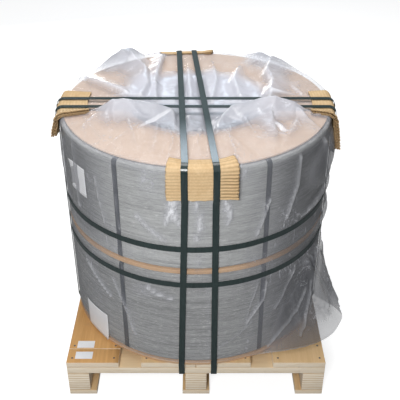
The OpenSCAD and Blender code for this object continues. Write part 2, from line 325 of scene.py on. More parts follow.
# Load strapping: smooth dark green plastic with a fine embossed weave
def strapFinish(name):
    bench = newFinish(name, {"Specular IOR Level": 0.03, "Coat Roughness": 0.16})
    place = bench.place()
    emboss = bench.node("ShaderNodeTexVoronoi", {}, {"Vector": place, "Scale": 420.0}, "Distance")
    drawn = bench.cloud(bench.stretch(place, (300.0, 40.0, 40.0)), 1.0, 3.0, 0.6)
    rub = bench.step(bench.cloud(place, 24.0, 4.0, 0.65), 0.55, 0.78)
    colour = bench.ramp(drawn, [(0.3, (0.010, 0.022, 0.022)), (0.7, (0.020, 0.038, 0.037))])
    polish = bench.step(bench.split(place, "Y"), -0.40, -0.14, 0.90, 0.02)
    return feed(bench, {
        "Base Color": bench.tint(rub * 0.3, colour, shade(0.075, 0.100, 0.100)),
        "Roughness": 0.30 + rub * 0.16,
        "Coat Weight": polish - rub * polish * 0.7,
        "Normal": bench.bump(emboss * 0.6 + drawn * 0.4, 0.16, 0.0005),
    })


# Labels: plain paper with faint ruled lines
def paperFinish(name, rules):
    bench = newFinish(name, {"Specular IOR Level": 0.3})
    place = bench.place()
    fibre = bench.cloud(place, 380.0, 3.0, 0.6)
    smear = bench.cloud(place, 22.0, 3.0, 0.5)
    paper = bench.ramp(fibre * 0.4 + smear * 0.6, [(0.3, (0.76, 0.77, 0.80)), (0.7, (0.90, 0.90, 0.91))])
    line = bench.node(
        "ShaderNodeTexWave",
        {"bands_direction": rules["axis"], "wave_profile": "SIN"},
        {"Vector": place, "Scale": rules["scale"], "Distortion": 0.0},
        "Fac",
    )
    ruled = bench.step(line, 0.80, 0.93) * bench.step(smear, 0.30, 0.52, 0.35, 1.0)
    return feed(bench, {
        "Base Color": bench.tint(ruled * rules["depth"], paper, shade(0.36, 0.38, 0.42)),
        "Roughness": 0.55 + fibre * 0.2,
        "Normal": bench.bump(fibre, 0.08, 0.0003),
    })


# Clear film: haze that gathers in the creases, over the bore and where the film stands off, with painted
# shade and painted highlights in its colour
def filmFinish(name):
    bench = newFinish(name, {"Specular IOR Level": 0.35, "IOR": 1.45})
    place = bench.place()
    crease = bench.field("crease")
    haze = bench.field("haze")
    dusk = bench.field("dusk")
    gather = bench.field("gather")
    glare = bench.field("glare")
    cloudy = bench.cloud(place, 7.0, 4.0, 0.6, 0.6)
    crinkle = bench.cloud(bench.stretch(place, (1.0, 1.0, 0.55)), 30.0, 3.0, 0.55, 1.6)
    line = bench.step(bench.maths("ABSOLUTE", crinkle - 0.5), 0.0, 0.03, 1.0, 0.0)
    thread = line * bench.step(cloudy, 0.52, 0.66)
    pucker = bench.cloud(bench.stretch(place, (75.0, 75.0, 9.0)), 1.0, 3.0, 0.6, 0.5)
    streak = bench.step(pucker, 0.54, 0.70) * gather
    crushed = bench.cloud(bench.stretch(place, (1.0, 1.0, 0.7)), 85.0, 3.0, 0.65, 1.2)
    flake = bench.step(crushed, 0.46, 0.66)
    thread = thread + streak * 0.8 + glare * (0.25 + flake * 0.9)
    veil = haze * (0.8 + cloudy * 0.4) + crease * 0.5 + thread * (0.06 + haze * 0.45) + streak * 0.26
    veil = veil + glare * (0.16 + flake * 0.60)
    # Painted shade: the film's colour darkens with this field
    body = bench.tint(dusk, shade(0.64, 0.65, 0.72), shade(0.155, 0.16, 0.175))
    # Painted highlight: creases, crinkle threads, gathered streaks and glare patches are tinted towards white
    paintedHighlight = bench.maths("MINIMUM", crease * 0.9 + thread * 0.5, 1.0)
    relief = line * 0.4 + cloudy * 0.8
    return feed(bench, {
        "Base Color": bench.tint(paintedHighlight, body, shade(0.90, 0.91, 0.95)),
        "Alpha": bench.maths("MINIMUM", veil, 0.92),
        "Roughness": 0.14 + cloudy * 0.16,
        "Normal": bench.bump(relief, 0.35, 0.002),
    })


orangeWood = woodFinish("orangeBoardWood", 1, (0.72, 0.42, 0.17), (0.50, 0.26, 0.09), 58.0)
paleWood = woodFinish("paleBoardWood", 1, (0.76, 0.54, 0.30), (0.56, 0.36, 0.17), 58.0)
crossWood = woodFinish("crossBoardWood", 0, (0.78, 0.60, 0.38), (0.60, 0.42, 0.23), 62.0)
blockWood = woodFinish("blockWood", 1, (0.68, 0.49, 0.29), (0.50, 0.33, 0.17), 30.0)
ringBoard = boardFinish("ringBoard", (0.64, 0.43, 0.27), (0.43, 0.27, 0.16))
coverCard = cardFinish("coverCard", (0.78, 0.60, 0.46), (0.66, 0.48, 0.35), False)
padCard = cardFinish("padCard", (0.76, 0.56, 0.33), (0.58, 0.39, 0.20), True)
# The lower coil's wire is a darker copy of the upper coil's wire: painted shade on the lower coil
upperWire = wireFinish("upperWire", (0.52, 0.53, 0.525), (0.25, 0.255, 0.255))
shadedLowerWire = wireFinish("shadedLowerWire", (0.41, 0.415, 0.415), (0.185, 0.19, 0.19))
bandPaint = bandFinish("bandPaint")
strapPlastic = strapFinish("strapPlastic")
labelPaper = paperFinish("labelPaper", {"axis": "Z", "scale": 38.0, "depth": 0.34})
stickerPaper = paperFinish("stickerPaper", {"axis": "Y", "scale": 60.0, "depth": 0.16})
clearFilm = filmFinish("clearFilm")
print("finishes made")


def newPiece(name, bm, finish, nodes, smooth=True):
    mesh = bpy.data.meshes.new(name)
    bm.to_mesh(mesh)
    bm.free()
    for face in mesh.polygons:
        face.use_smooth = smooth
    mesh.materials.append(finish)
    piece = bpy.data.objects.new(name, mesh)
    bpy.context.scene.collection.objects.link(piece)
    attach(piece, "root")
    if nodes:
        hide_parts(*nodes)
    return piece


def paintNode(node, finish):
    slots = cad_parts[node].data.materials
    slots.clear()
    slots.append(finish)


def sharpen(piece, degrees):
    piece.data.set_sharp_from_angle(angle=math.radians(degrees))


def points(mesh):
    flat = np.empty(len(mesh.vertices) * 3)
    mesh.vertices.foreach_get("co", flat)
    return flat.reshape(-1, 3)


def setPoints(mesh, co):
    mesh.vertices.foreach_set("co", co.ravel())
    mesh.update()


def setField(mesh, name, values):
    field = mesh.attributes.new(name, "FLOAT", "POINT")
    field.data.foreach_set("value", np.asarray(values, dtype=np.float32))


def smoothStep(low, high, value):
    share = np.clip((value - low) / (high - low), 0.0, 1.0)
    return share * share * (3.0 - 2.0 * share)


# A sum of waves that closes on itself round the load
def ripple(angle, height, waves, seed):
    dice = np.random.default_rng(seed)
    total = np.zeros_like(angle)
    for turns, rise in waves:
        phase, lean = dice.uniform(0.0, 2.0 * math.pi, 2)
        total += np.sin(turns * angle + rise * height + phase) * (0.7 + 0.3 * math.sin(lean))
    return total / len(waves)


def around(angle, radius, z):
    return Vector((radius * math.sin(angle), -radius * math.cos(angle), z))


# Pallet boards and blocks: eased edges, a little uneven from the saw
board = {"edge": 0.0016, "cuts": 14, "uneven": 0.0007}
seam = {"back": 0.064, "width": 0.0012}  # joint across the left deck board, back from its front


def makeBoard(node, finish, joints):
    low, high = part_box(node)
    size = high - low
    bm = bmesh.new()
    bmesh.ops.create_cube(bm, size=1.0)
    bmesh.ops.scale(bm, vec=size, verts=bm.verts)
    bmesh.ops.translate(bm, vec=(low + high) / 2, verts=bm.verts)
    along = max(range(3), key=lambda axis: size[axis])
    axis = Vector([1.0 if i == along else 0.0 for i in range(3)])
    for place in joints:
        for shift in (-0.5, 0.5):
            bmesh.ops.bisect_plane(
                bm,
                geom=bm.verts[:] + bm.edges[:] + bm.faces[:],
                plane_co=axis * (place + shift * seam["width"]),
                plane_no=axis,
            )
        slit = [f for f in bm.faces if abs(f.calc_center_median()[along] - place) < seam["width"]]
        bmesh.ops.delete(bm, geom=slit, context="FACES")
        rims = [e for e in bm.edges if e.is_boundary]
        bmesh.ops.holes_fill(bm, edges=rims, sides=4)
    corner = [e for e in bm.edges if e.calc_face_angle(0.0) > 1.0]
    bmesh.ops.bevel(
        bm, geom=corner, offset=board["edge"], offset_type="OFFSET", segments=2,
        profile=0.5, affect="EDGES", material=-1, clamp_overlap=True,
    )
    runs = [e for e in bm.edges if abs((e.verts[0].co - e.verts[1].co).dot(axis)) > 0.4 * size[along]]
    bmesh.ops.subdivide_edges(bm, edges=runs, cuts=board["cuts"])
    middle = (low + high) / 2
    for vert in bm.verts:
        shift = noise.noise(vert.co * 9.0 + middle * 3.0) * board["uneven"]
        inward = middle - vert.co
        inward[along] = 0.0
        vert.co += inward.normalized() * abs(shift)
    bmesh.ops.recalc_face_normals(bm, faces=bm.faces)
    sharpen(newPiece(node + "_wood", bm, finish, [node]), 32.0)


def makePallet():
    for i in range(1, 5):
        node = "deck_board_%d" % i
        joints = [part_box(node)[0].y + seam["back"]] if i == 1 else []
        makeBoard(node, orangeWood if i == 1 else paleWood, joints)
    for i in range(1, 4):
        makeBoard("cross_board_%d" % i, crossWood, [])
        makeBoard("bottom_board_%d" % i, paleWood, [])
    for i in range(1, 10):
        makeBoard("block_%d" % i, blockWood, [])


makePallet()
print("pallet made")


# Nail heads in the deck, over the cross boards
nail = {"radius": 0.0038, "crown": 0.8, "sides": 14, "proud": 0.0006, "inset": 0.017, "spread": 0.028}


def makeNails():
    bm = bmesh.new()
    for deck in range(1, 5):
        deckLow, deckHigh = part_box("deck_board_%d" % deck)
        for cross in range(1, 4):
            crossLow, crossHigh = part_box("cross_board_%d" % cross)
            y = (crossLow.y + crossHigh.y) / 2
            for x in (deckLow.x + nail["inset"], deckHigh.x - nail["inset"]):
                for shift in (-nail["spread"], nail["spread"]):
                    head = bmesh.ops.create_cone(
                        bm, cap_ends=True, segments=nail["sides"], radius1=nail["radius"],
                        radius2=nail["radius"] * nail["crown"], depth=2.0 * nail["proud"],
                    )["verts"]
                    bmesh.ops.translate(bm, vec=(x, y + shift, deckHigh.z), verts=head)
    newPiece("deck_nails", bm, bandPaint, [], False)


makeNails()
print("nails made")


# Rings of board and card, turned from their sections
def turned(outline, steps):
    bm = bmesh.new()
    verts = [bm.verts.new((r, 0.0, z)) for r, z in outline]
    edges = [bm.edges.new(pair) for pair in zip(verts, verts[1:] + verts[:1])]
    bmesh.ops.spin(
        bm, geom=verts + edges, cent=(0.0, 0.0, 0.0), axis=(0.0, 0.0, 1.0),
        angle=2.0 * math.pi, steps=steps, use_merge=True,
    )
    bmesh.ops.recalc_face_normals(bm, faces=bm.faces)
    return bm


ringSpec = {"steps": 200, "ease": 0.0016, "uneven": 0.0009, "coverHole": 0.215, "waves": (5, 11, 23, 41)}


def makeRing(node, finish, hole):
    low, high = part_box(node)
    ease = ringSpec["ease"]
    outer = high.x
    outline = [
        (hole + ease, low.z), (outer - ease, low.z), (outer - 0.3 * ease, low.z + 0.3 * ease),
        (outer, low.z + ease), (outer, high.z - ease), (outer - 0.3 * ease, high.z - 0.3 * ease),
        (outer - ease, high.z), (hole + ease, high.z), (hole, high.z - ease), (hole, low.z + ease),
    ]
    piece = newPiece(node + "_turned", turned(outline, ringSpec["steps"]), finish, [node])
    co = points(piece.data)
    radius = np.hypot(co[:, 0], co[:, 1])
    waves = [(turns, 0) for turns in ringSpec["waves"]]
    wear = ripple(np.arctan2(co[:, 0], -co[:, 1]), co[:, 2] * 0.0, waves, 3)
    scale = 1.0 - ringSpec["uneven"] * (0.6 + 0.8 * np.abs(wear)) / radius * (radius > outer - 0.01)
    co[:, 0] *= scale
    co[:, 1] *= scale
    setPoints(piece.data, co)
    sharpen(piece, 40.0)


makeRing("base_ring", ringBoard, stack["boreR"])
makeRing("middle_ring", ringBoard, stack["boreR"])
makeRing("cover_ring", coverCard, ringSpec["coverHole"])
print("rings made")


# Coils: strands of wire that waver round the outside
coilSpec = {"pitch": 0.0036, "depth": 0.0011, "shoulder": 0.014, "steps": 216, "waver": 0.0016}


def wallPath(low, high):
    r = stack["coilR"]
    bend = coilSpec["shoulder"]
    length = (high - low - 2.0 * bend) + math.pi * bend
    count = int(length / coilSpec["pitch"]) * 3
    path = []
    for i in range(count + 1):
        run = length * i / count
        dip = coilSpec["depth"] * (0.0 if i % 3 == 1 else (1.0 if i % 3 == 0 else 0.35))
        if run < math.pi / 2 * bend:
            a = run / bend - math.pi / 2
            path.append((r - bend + (bend - dip) * math.cos(a), low + bend + (bend - dip) * math.sin(a)))
        elif run > length - math.pi / 2 * bend:
            a = (run - (length - math.pi / 2 * bend)) / bend
            path.append((r - bend + (bend - dip) * math.cos(a), high - bend + (bend - dip) * math.sin(a)))
        else:
            path.append((r - dip, low + bend + run - math.pi / 2 * bend))
    return path


def makeCoil(node, finish, seed):
    low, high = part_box(node)
    bore = stack["boreR"]
    bend = coilSpec["shoulder"]
    inner = [(bore + bend, high.z), (bore + 0.3 * bend, high.z - 0.3 * bend), (bore, high.z - bend)]
    inner += [(bore, high.z + (low.z - high.z) * k / 8.0) for k in range(1, 8)]
    inner += [(bore, low.z + bend), (bore + 0.3 * bend, low.z + 0.3 * bend), (bore + bend, low.z)]
    bm = turned(wallPath(low.z, high.z) + inner, coilSpec["steps"])
    piece = newPiece(node + "_wound", bm, finish, [node])
    co = points(piece.data)
    radius = np.hypot(co[:, 0], co[:, 1])
    angle = np.arctan2(co[:, 0], -co[:, 1])
    fromEnd = np.minimum(co[:, 2] - low.z, high.z - co[:, 2])
    wall = (radius > stack["coilR"] - 0.012) * smoothStep(0.0, 0.03, fromEnd)
    lift = ripple(angle, co[:, 2], [(3, 40), (7, -90), (13, 150), (24, 260), (37, -310)], seed)
    sink = ripple(angle, co[:, 2], [(4, 800), (9, 1300), (17, -1700), (31, 900)], seed + 1)
    co[:, 2] += wall * lift * coilSpec["waver"]
    scale = 1.0 - wall * (0.0004 + 0.0009 * np.abs(sink)) / radius
    co[:, 0] *= scale
    co[:, 1] *= scale
    setPoints(piece.data, co)


makeCoil("lower_coil", shadedLowerWire, 11)
makeCoil("upper_coil", upperWire, 23)
for level in ("lower", "upper"):
    for i in range(1, 7):
        paintNode("%s_band_%d" % (level, i), bandPaint)
print("coils made")


# Straps
strapSpec = {
    "width": 0.019, "thick": 0.001, "edge": 0.0003, "padThick": 0.008, "padLead": 0.014,
    "sideSteps": 26, "rimSteps": 12, "topSteps": 40, "rise": 0.0016, "crossing": 0.150,
}
girth = {"lower": 0.4764, "upper": 0.6064, "steps": 240, "sway": 0.0012, "waves": (2, 5, 9, 16)}
loadStraps = {
    "strap_front_left": {"low": -0.046, "angles": (-3.8, -8.6), "turn": 0.0},
    "strap_front_right": {"low": 0.058, "angles": (7.6, -1.2), "turn": 0.0},
    "strap_side_near": {"low": 0.0625, "angles": (9.0, 9.0), "turn": -90.0},
    "strap_side_far": {"low": -0.0625, "angles": (0.7, 0.7), "turn": -90.0},
}


# Stations of one side of a strap: inner point, outward direction, direction across
def strapSide(low, topAngle, pad, under):
    fit = stack["fit"]
    edge = stack["palletHalf"]
    runR = stack["filmR"] + 2.0 * fit + strapSpec["thick"]
    foot = max(runR, edge + fit)
    lowAngle = math.asin(low / foot)
    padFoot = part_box(pad)[0].z
    leadZ = padFoot - strapSpec["padLead"]
    padR = stack["filmR"] + strapSpec["padThick"] + 2.0 * fit
    stations = [(Vector((low, -edge - fit, under - fit)), Vector((0.0, -1.0, -1.0)), Vector((1.0, 0.0, 0.0)))]
    for i in range(strapSpec["sideSteps"] + 1):
        share = i / strapSpec["sideSteps"]
        a = lowAngle + (topAngle - lowAngle) * share
        r = foot + (runR - foot) * share
        z = stack["deckTop"] + (leadZ - stack["deckTop"]) * share
        stations.append((around(a, r, z), around(a, 1.0, 0.0), Vector((math.cos(a), math.sin(a), 0.0))))
    out = around(topAngle, 1.0, 0.0)
    across = Vector((math.cos(topAngle), math.sin(topAngle), 0.0))
    stations.append((around(topAngle, padR, padFoot - fit), out, across))
    bend = stack["rimRound"] + strapSpec["padThick"] + 2.0 * fit
    for i in range(strapSpec["rimSteps"] + 1):
        a = math.pi / 2.0 * i / strapSpec["rimSteps"]
        place = around(topAngle, stack["rimR"] + bend * math.cos(a), stack["rimZ"] + bend * math.sin(a))
        stations.append((place, out * math.cos(a) + Vector((0.0, 0.0, math.sin(a))), across))
    return stations


def turnedBack(stations):
    flip = Vector((1.0, -1.0, 1.0))
    return [(p * flip, o * flip, c * flip) for p, o, c in reversed(stations)]


def strapTop(first, last, rise):
    steps = strapSpec["topSteps"]
    span = (last[0] - first[0]).length
    stations = []
    for i in range(1, steps):
        share = i / steps
        fromMiddle = abs(share - 0.5) * span
        lift = rise * float(1.0 - smoothStep(strapSpec["crossing"], span / 2.0, fromMiddle))
        place = first[0].lerp(last[0], share) + Vector((0.0, 0.0, lift))
        stations.append((place, Vector((0.0, 0.0, 1.0)), first[2].lerp(last[2], share).normalized()))
    return stations


def makeStrap(node):
    spec = loadStraps[node]
    ahead = spec["turn"] == 0.0
    under = stack["crossUnder"] if ahead else stack["deckUnder"]
    padNames = ("edge_pad_front", "edge_pad_back") if ahead else ("edge_pad_left", "edge_pad_right")
    front = strapSide(spec["low"], math.radians(spec["angles"][0]), padNames[0], under)
    back = turnedBack(strapSide(spec["low"], math.radians(spec["angles"][1]), padNames[1], under))
    stations = front + strapTop(front[-1], back[0], strapSpec["rise"] if ahead else 0.0) + back
    half = strapSpec["width"] / 2.0
    thick = strapSpec["thick"]
    ease = strapSpec["edge"]
    section = [
        (-half, ease), (-half + ease, 0.0), (half - ease, 0.0), (half, ease),
        (half, thick - ease), (half - ease, thick), (-half + ease, thick), (-half, thick - ease),
    ]
    bm = bmesh.new()
    ring = []
    for place, out, across in stations:
        spots = [place + across * x + out * y for x, y in section]
        if not ring:
            verts = [bm.verts.new(spot) for spot in spots]
            ring = [bm.edges.new(pair) for pair in zip(verts, verts[1:] + verts[:1])]
            firstRing = ring
            order = verts
            continue
        made = bmesh.ops.extrude_edge_only(bm, edges=ring)["geom"]
        nextOf = {}
        ring = [g for g in made if isinstance(g, bmesh.types.BMEdge)]
        fresh = [g for g in made if isinstance(g, bmesh.types.BMVert)]
        for old, spot in zip(order, spots):
            new = next(e.other_vert(old) for e in old.link_edges if e.other_vert(old) in fresh)
            nextOf[old] = new
            new.co = spot
        order = [nextOf[old] for old in order]
    bmesh.ops.bridge_loops(bm, edges=ring + firstRing)
    turn = math.radians(spec["turn"])
    for vert in bm.verts:
        x, y = vert.co.x, vert.co.y
        vert.co.x = x * math.cos(turn) - y * math.sin(turn)
        vert.co.y = x * math.sin(turn) + y * math.cos(turn)
    bmesh.ops.recalc_face_normals(bm, faces=bm.faces)
    sharpen(newPiece(node + "_drawn", bm, strapPlastic, [node]), 42.0)


def makeGirth(level):
    half = strapSpec["width"] / 2.0
    r = stack["filmR"] + stack["fit"]
    ease = strapSpec["edge"]
    thick = strapSpec["thick"]
    z = girth[level]
    low, high = z - half, z + half
    face = r + thick
    outline = [
        (r, low + ease), (r + ease, low), (face - ease, low), (face, low + ease),
        (face, high - ease), (face - ease, high), (r + ease, high), (r, high - ease),
    ]
    node = "girth_strap_" + level
    piece = newPiece(node + "_drawn", turned(outline, girth["steps"]), strapPlastic, [node])
    co = points(piece.data)
    waves = [(turns, 0) for turns in girth["waves"]]
    sway = ripple(np.arctan2(co[:, 0], -co[:, 1]), co[:, 2] * 0.0, waves, 7)
    co[:, 2] += girth["sway"] * sway
    setPoints(piece.data, co)
    sharpen(piece, 42.0)


for node in loadStraps:
    makeStrap(node)
for level in ("lower", "upper"):
    makeGirth(level)
print("straps made")


# Edge pads: fluted sheets on their liners, bent over the rim and fanned out at their free ends
padSpec = {
    "width": 0.194, "thick": 0.008, "flute": 0.0098, "perFlute": 8, "crushed": 0.13, "sheet": 0.0006,
    "steps": 44, "tremble": 0.0010, "fray": 0.0022, "ragged": 0.0045,
}
padSheets = [
    # base, top, phase of the flutes
    (0.0003, 0.0003, 0.0), (0.0007, 0.0022, 0.0), (0.0026, 0.0026, 0.0), (0.0030, 0.0046, 0.4),
    (0.0050, 0.0050, 0.0), (0.0053, 0.0074, 0.15),
]
pads = {
    "edge_pad_front": {
        "angle": 2.6, "reach": 0.036, "lift": (0.002, 0.003),
        "fan": (0.6, 0.9), "open": (0.3, 1.0), "seed": 5,
    },
    "edge_pad_back": {
        "angle": 184.9, "reach": 0.030, "lift": (0.004, 0.002),
        "fan": (0.8, 0.6), "open": (0.8, 0.5), "seed": 6,
    },
    "edge_pad_left": {
        "angle": -85.2, "reach": 0.092, "lift": (0.001, 0.012),
        "fan": (0.2, 1.5), "open": (0.3, 1.0), "seed": 7,
    },
    "edge_pad_right": {
        "angle": 85.2, "reach": 0.066, "lift": (0.016, 0.002),
        "fan": (1.6, 0.4), "open": (1.0, 0.4), "seed": 8,
    },
}


# A point at a run along the pad's bend and an offset out from the film
def padPoint(run, offset, flat):
    bend = stack["rimRound"] + stack["fit"] + padSpec["thick"] / 2.0
    inner = stack["rimRound"] + stack["fit"] + offset
    if run < flat:
        return (stack["rimR"] + inner, stack["rimZ"] - flat + run)
    a = (run - flat) / bend
    if a < math.pi / 2.0:
        return (stack["rimR"] + inner * math.cos(a), stack["rimZ"] + inner * math.sin(a))
    return (stack["rimR"] - (run - flat - bend * math.pi / 2.0), stack["rimZ"] + inner)


def addPadSheet(bm, base, top, phase, node):
    spec = pads[node]
    flat = stack["rimZ"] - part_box(node)[0].z
    bend = stack["rimRound"] + stack["fit"] + padSpec["thick"] / 2.0
    length = flat + bend * math.pi / 2.0 + spec["reach"] - stack["rimRound"]
    count = int(length / padSpec["flute"] * padSpec["perFlute"])
    half = padSpec["width"] / 2.0 / stack["filmR"]
    line = []
    for i in range(count + 1):
        run = length * i / count
        wander = 0.22 * noise.noise(Vector((run / 0.022, phase, spec["seed"])))
        wave = 0.5 - 0.5 * math.cos(2.0 * math.pi * (run / padSpec["flute"] + phase + wander))
        r, z = padPoint(run, base + (top - base) * wave, flat)
        line.append(bm.verts.new(around(math.radians(spec["angle"]) - half, r, z)))
    edges = [bm.edges.new(pair) for pair in zip(line, line[1:])]
    bmesh.ops.spin(
        bm, geom=line + edges, cent=(0.0, 0.0, 0.0), axis=(0.0, 0.0, 1.0),
        angle=2.0 * half, steps=padSpec["steps"], use_merge=False,
    )


def makePad(node):
    spec = pads[node]
    bm = bmesh.new()
    for base, top, phase in padSheets:
        addPadSheet(bm, base, top, phase, node)
    piece = newPiece(node + "_fluted", bm, padCard, [node])
    mesh = piece.data
    co = points(mesh)
    angle = np.arctan2(co[:, 0], -co[:, 1])
    away = (angle - math.radians(spec["angle"]) + math.pi) % (2.0 * math.pi) - math.pi
    share = away / (padSpec["width"] / 2.0 / stack["filmR"])
    radius = np.hypot(co[:, 0], co[:, 1])
    onSide = co[:, 2] < stack["rimZ"]
    onTop = radius < stack["rimR"]
    inner = stack["rimRound"] + stack["fit"]
    out = radius - stack["rimR"]
    up = co[:, 2] - stack["rimZ"]
    bendOff = np.hypot(out, up) - inner
    offset = np.where(onSide, out - inner, np.where(onTop, up - inner, bendOff))
    dirR = np.where(onSide, 1.0, np.where(onTop, 0.0, out / (bendOff + inner)))
    dirZ = np.where(onSide, 0.0, np.where(onTop, 1.0, up / (bendOff + inner)))
    # The outer flutes are crushed between the straps and stand open at the ends
    leftEnd = smoothStep(0.50, 1.0, -share)
    rightEnd = smoothStep(0.50, 1.0, share)
    flatter = padSpec["crushed"]
    opened = flatter + (spec["open"][0] - flatter) * smoothStep(0.5, 0.8, -share)
    opened += (spec["open"][1] - flatter) * smoothStep(0.42, 0.62, share)
    opened *= 0.35 + 0.65 * smoothStep(stack["rimZ"] + 0.006, stack["rimZ"] - 0.022, co[:, 2])
    outer = padSheets[-1][0]
    wanted = np.where(offset > outer, outer + (offset - outer) * opened, offset)
    fan = 1.0 + spec["fan"][0] * leftEnd ** 1.4 + spec["fan"][1] * rightEnd ** 1.4
    lift = spec["lift"][0] * leftEnd ** 1.3 + spec["lift"][1] * rightEnd ** 1.3
    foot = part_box(node)[0].z
    drop = smoothStep(stack["rimZ"] + 0.012, foot, co[:, 2])
    tremble = padSpec["tremble"] * ripple(angle * 30.0, co[:, 2], [(1, 55), (2, -80), (3, 140)], spec["seed"])
    move = wanted * fan - offset + lift * (0.3 + 0.7 * drop) + np.maximum(tremble, 0.0) * (1.0 - onTop)
    radiusNew = radius + dirR * move
    co[:, 2] += dirZ * move
    co[:, 0] *= radiusNew / radius
    co[:, 1] *= radiusNew / radius
    # Ragged ends and lower edge
    fray = ripple(angle * 90.0, co[:, 2], [(1, 300), (2, 700), (3, -500)], spec["seed"] + 4)
    co[:, 2] += padSpec["fray"] * fray * smoothStep(0.02, 0.0, co[:, 2] - foot)
    uneven = ripple(co[:, 2] * 60.0, offset * 900.0, [(1, 3), (2, 1), (4, 2)], spec["seed"] + 9)
    endShift = padSpec["ragged"] * uneven * smoothStep(0.8, 1.0, np.abs(share))
    co[:, 0] += endShift * np.cos(angle)
    co[:, 1] += endShift * np.sin(angle)
    setPoints(mesh, co)
    # Painted shade for the pad card: dark in the flute valleys of the outer sheet, more where the flutes
    # stand open, half dark on the inner sheets
    valley = 1.0 - smoothStep(0.0, 0.0016, offset - outer)
    hollow = np.where(offset > outer - 0.0001, valley * (0.12 + 0.88 * opened), 0.5)
    setField(mesh, "hollow", hollow)
    wall = piece.modifiers.new("sheet", "SOLIDIFY")
    wall.thickness = padSpec["sheet"]
    wall.offset = 0.0


for node in pads:
    makePad(node)
print("pads made")


# Labels: paper stuck on the film, with a corner or two lifting
labelSpec = {"rows": 14, "columns": 16, "thick": 0.00025, "wavy": 0.0007}
labels = {
    "label_lower": {"lift": 0.006, "corner": (1.0, -1.0)},
    "label_upper": {"lift": 0.005, "corner": (-1.0, 1.0)},
}


def makeLabel(node):
    low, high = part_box(node)
    co = points(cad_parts[node].data)
    angles = np.arctan2(co[:, 0], -co[:, 1])
    a0, a1 = float(angles.min()), float(angles.max())
    r = float(np.hypot(co[:, 0], co[:, 1]).max()) - 0.0001
    bm = bmesh.new()
    rows = labelSpec["rows"]
    line = [bm.verts.new(around(a0, r, low.z + (high.z - low.z) * i / rows)) for i in range(rows + 1)]
    edges = [bm.edges.new(pair) for pair in zip(line, line[1:])]
    bmesh.ops.spin(
        bm, geom=line + edges, cent=(0.0, 0.0, 0.0), axis=(0.0, 0.0, 1.0),
        angle=a1 - a0, steps=labelSpec["columns"], use_merge=False,
    )
    bmesh.ops.recalc_face_normals(bm, faces=bm.faces)
    spec = labels[node]
    for vert in bm.verts:
        a = math.atan2(vert.co.x, -vert.co.y)
        u = 2.0 * (a - a0) / (a1 - a0) - 1.0
        v = 2.0 * (vert.co.z - low.z) / (high.z - low.z) - 1.0
        near = max(0.0, (u * spec["corner"][0] + v * spec["corner"][1]) / 2.0 - 0.45) / 0.55
        out = spec["lift"] * near * near + labelSpec["wavy"] * (1.0 + noise.noise(vert.co * 26.0))
        vert.co += around(a, 1.0, 0.0) * out
    piece = newPiece(node + "_paper", bm, labelPaper, [node])
    wall = piece.modifiers.new("paper", "SOLIDIFY")
    wall.thickness = labelSpec["thick"]
    wall.offset = 0.0


for node in labels:
    makeLabel(node)
for node in ("sticker_1", "sticker_2"):
    paintNode(node, stickerPaper)
print("labels made")


# Film bag
film = {
    "flat": (2.72, 1.15), "area": 2.66,  # the tube laid flat, and the sheet as modelled
    "below": 0.03, "around": 192, "voxel": 0.0085, "weld": 0.0015,
    "frames": 22, "growTop": -0.060, "growSide": -0.005, "slack": 0.15, "wallPasses": 8,
    "tailAngles": (15.0, 60.0, 66.0, 79.0), "tailOut": 0.122, "tailTop": 0.470, "tailHem": 0.006,
    "fineFrom": 4.0, "wallFrom": 0.35, "topWithin": 0.3, "roomAbove": 0.020, "sag": 0.045,
    "creaseAt": 0.0019, "crumple": 0.006, "crumples": [(0.110, 0.7), (0.050, 0.3)],
}
clothSpec = {
    "quality": 6, "mass": 0.12, "tension_stiffness": 40.0, "compression_stiffness": 40.0,
    "shear_stiffness": 18.0, "bending_stiffness": 0.35, "tension_damping": 12.0,
    "compression_damping": 12.0, "shear_damping": 10.0, "air_damping": 2.0,
}
restSpec = {"below": 0.02, "clear": 0.0004, "under": 0.002, "ease": 0.010, "lip": 0.004, "steps": 128}


def bagShell():
    bm = bmesh.new()
    foot = stack["filmFoot"]
    r = stack["filmR"]
    ease = stack["rimRound"]
    outline = [(0.0, foot - film["below"]), (r, foot - film["below"])]
    for i in range(9):
        a = math.pi / 2.0 * i / 8.0
        outline.append((stack["rimR"] + ease * math.cos(a), stack["rimZ"] + ease * math.sin(a)))
    outline.append((0.0, stack["filmTop"]))
    verts = [bm.verts.new((x, 0.0, z)) for x, z in outline]
    edges = [bm.edges.new(pair) for pair in zip(verts, verts[1:])]
    bmesh.ops.spin(
        bm, geom=verts + edges, cent=(0.0, 0.0, 0.0), axis=(0.0, 0.0, 1.0),
        angle=2.0 * math.pi, steps=film["around"], use_merge=True,
    )
    bmesh.ops.remove_doubles(bm, verts=bm.verts, dist=0.00001)
    bmesh.ops.recalc_face_normals(bm, faces=bm.faces)
    return bm


def evaluated(piece):
    graph = bpy.context.evaluated_depsgraph_get()
    return bpy.data.meshes.new_from_object(piece.evaluated_get(graph), depsgraph=graph)


def remeshedBag():
    mesh = bpy.data.meshes.new("bag")
    shell = bagShell()
    shell.to_mesh(mesh)
    shell.free()
    rough = bpy.data.objects.new("bag", mesh)
    bpy.context.scene.collection.objects.link(rough)
    voxels = rough.modifiers.new("voxels", "REMESH")
    voxels.mode = "VOXEL"
    voxels.voxel_size = film["voxel"]
    even = evaluated(rough)
    bpy.data.objects.remove(rough)
    bm = bmesh.new()
    bm.from_mesh(even)
    bpy.data.meshes.remove(even)
    bmesh.ops.bisect_plane(
        bm, geom=bm.verts[:] + bm.edges[:] + bm.faces[:], plane_co=(0.0, 0.0, stack["filmFoot"]),
        plane_no=(0.0, 0.0, 1.0), clear_inner=True,
    )
    bmesh.ops.remove_doubles(bm, verts=bm.verts, dist=film["weld"])
    return bm


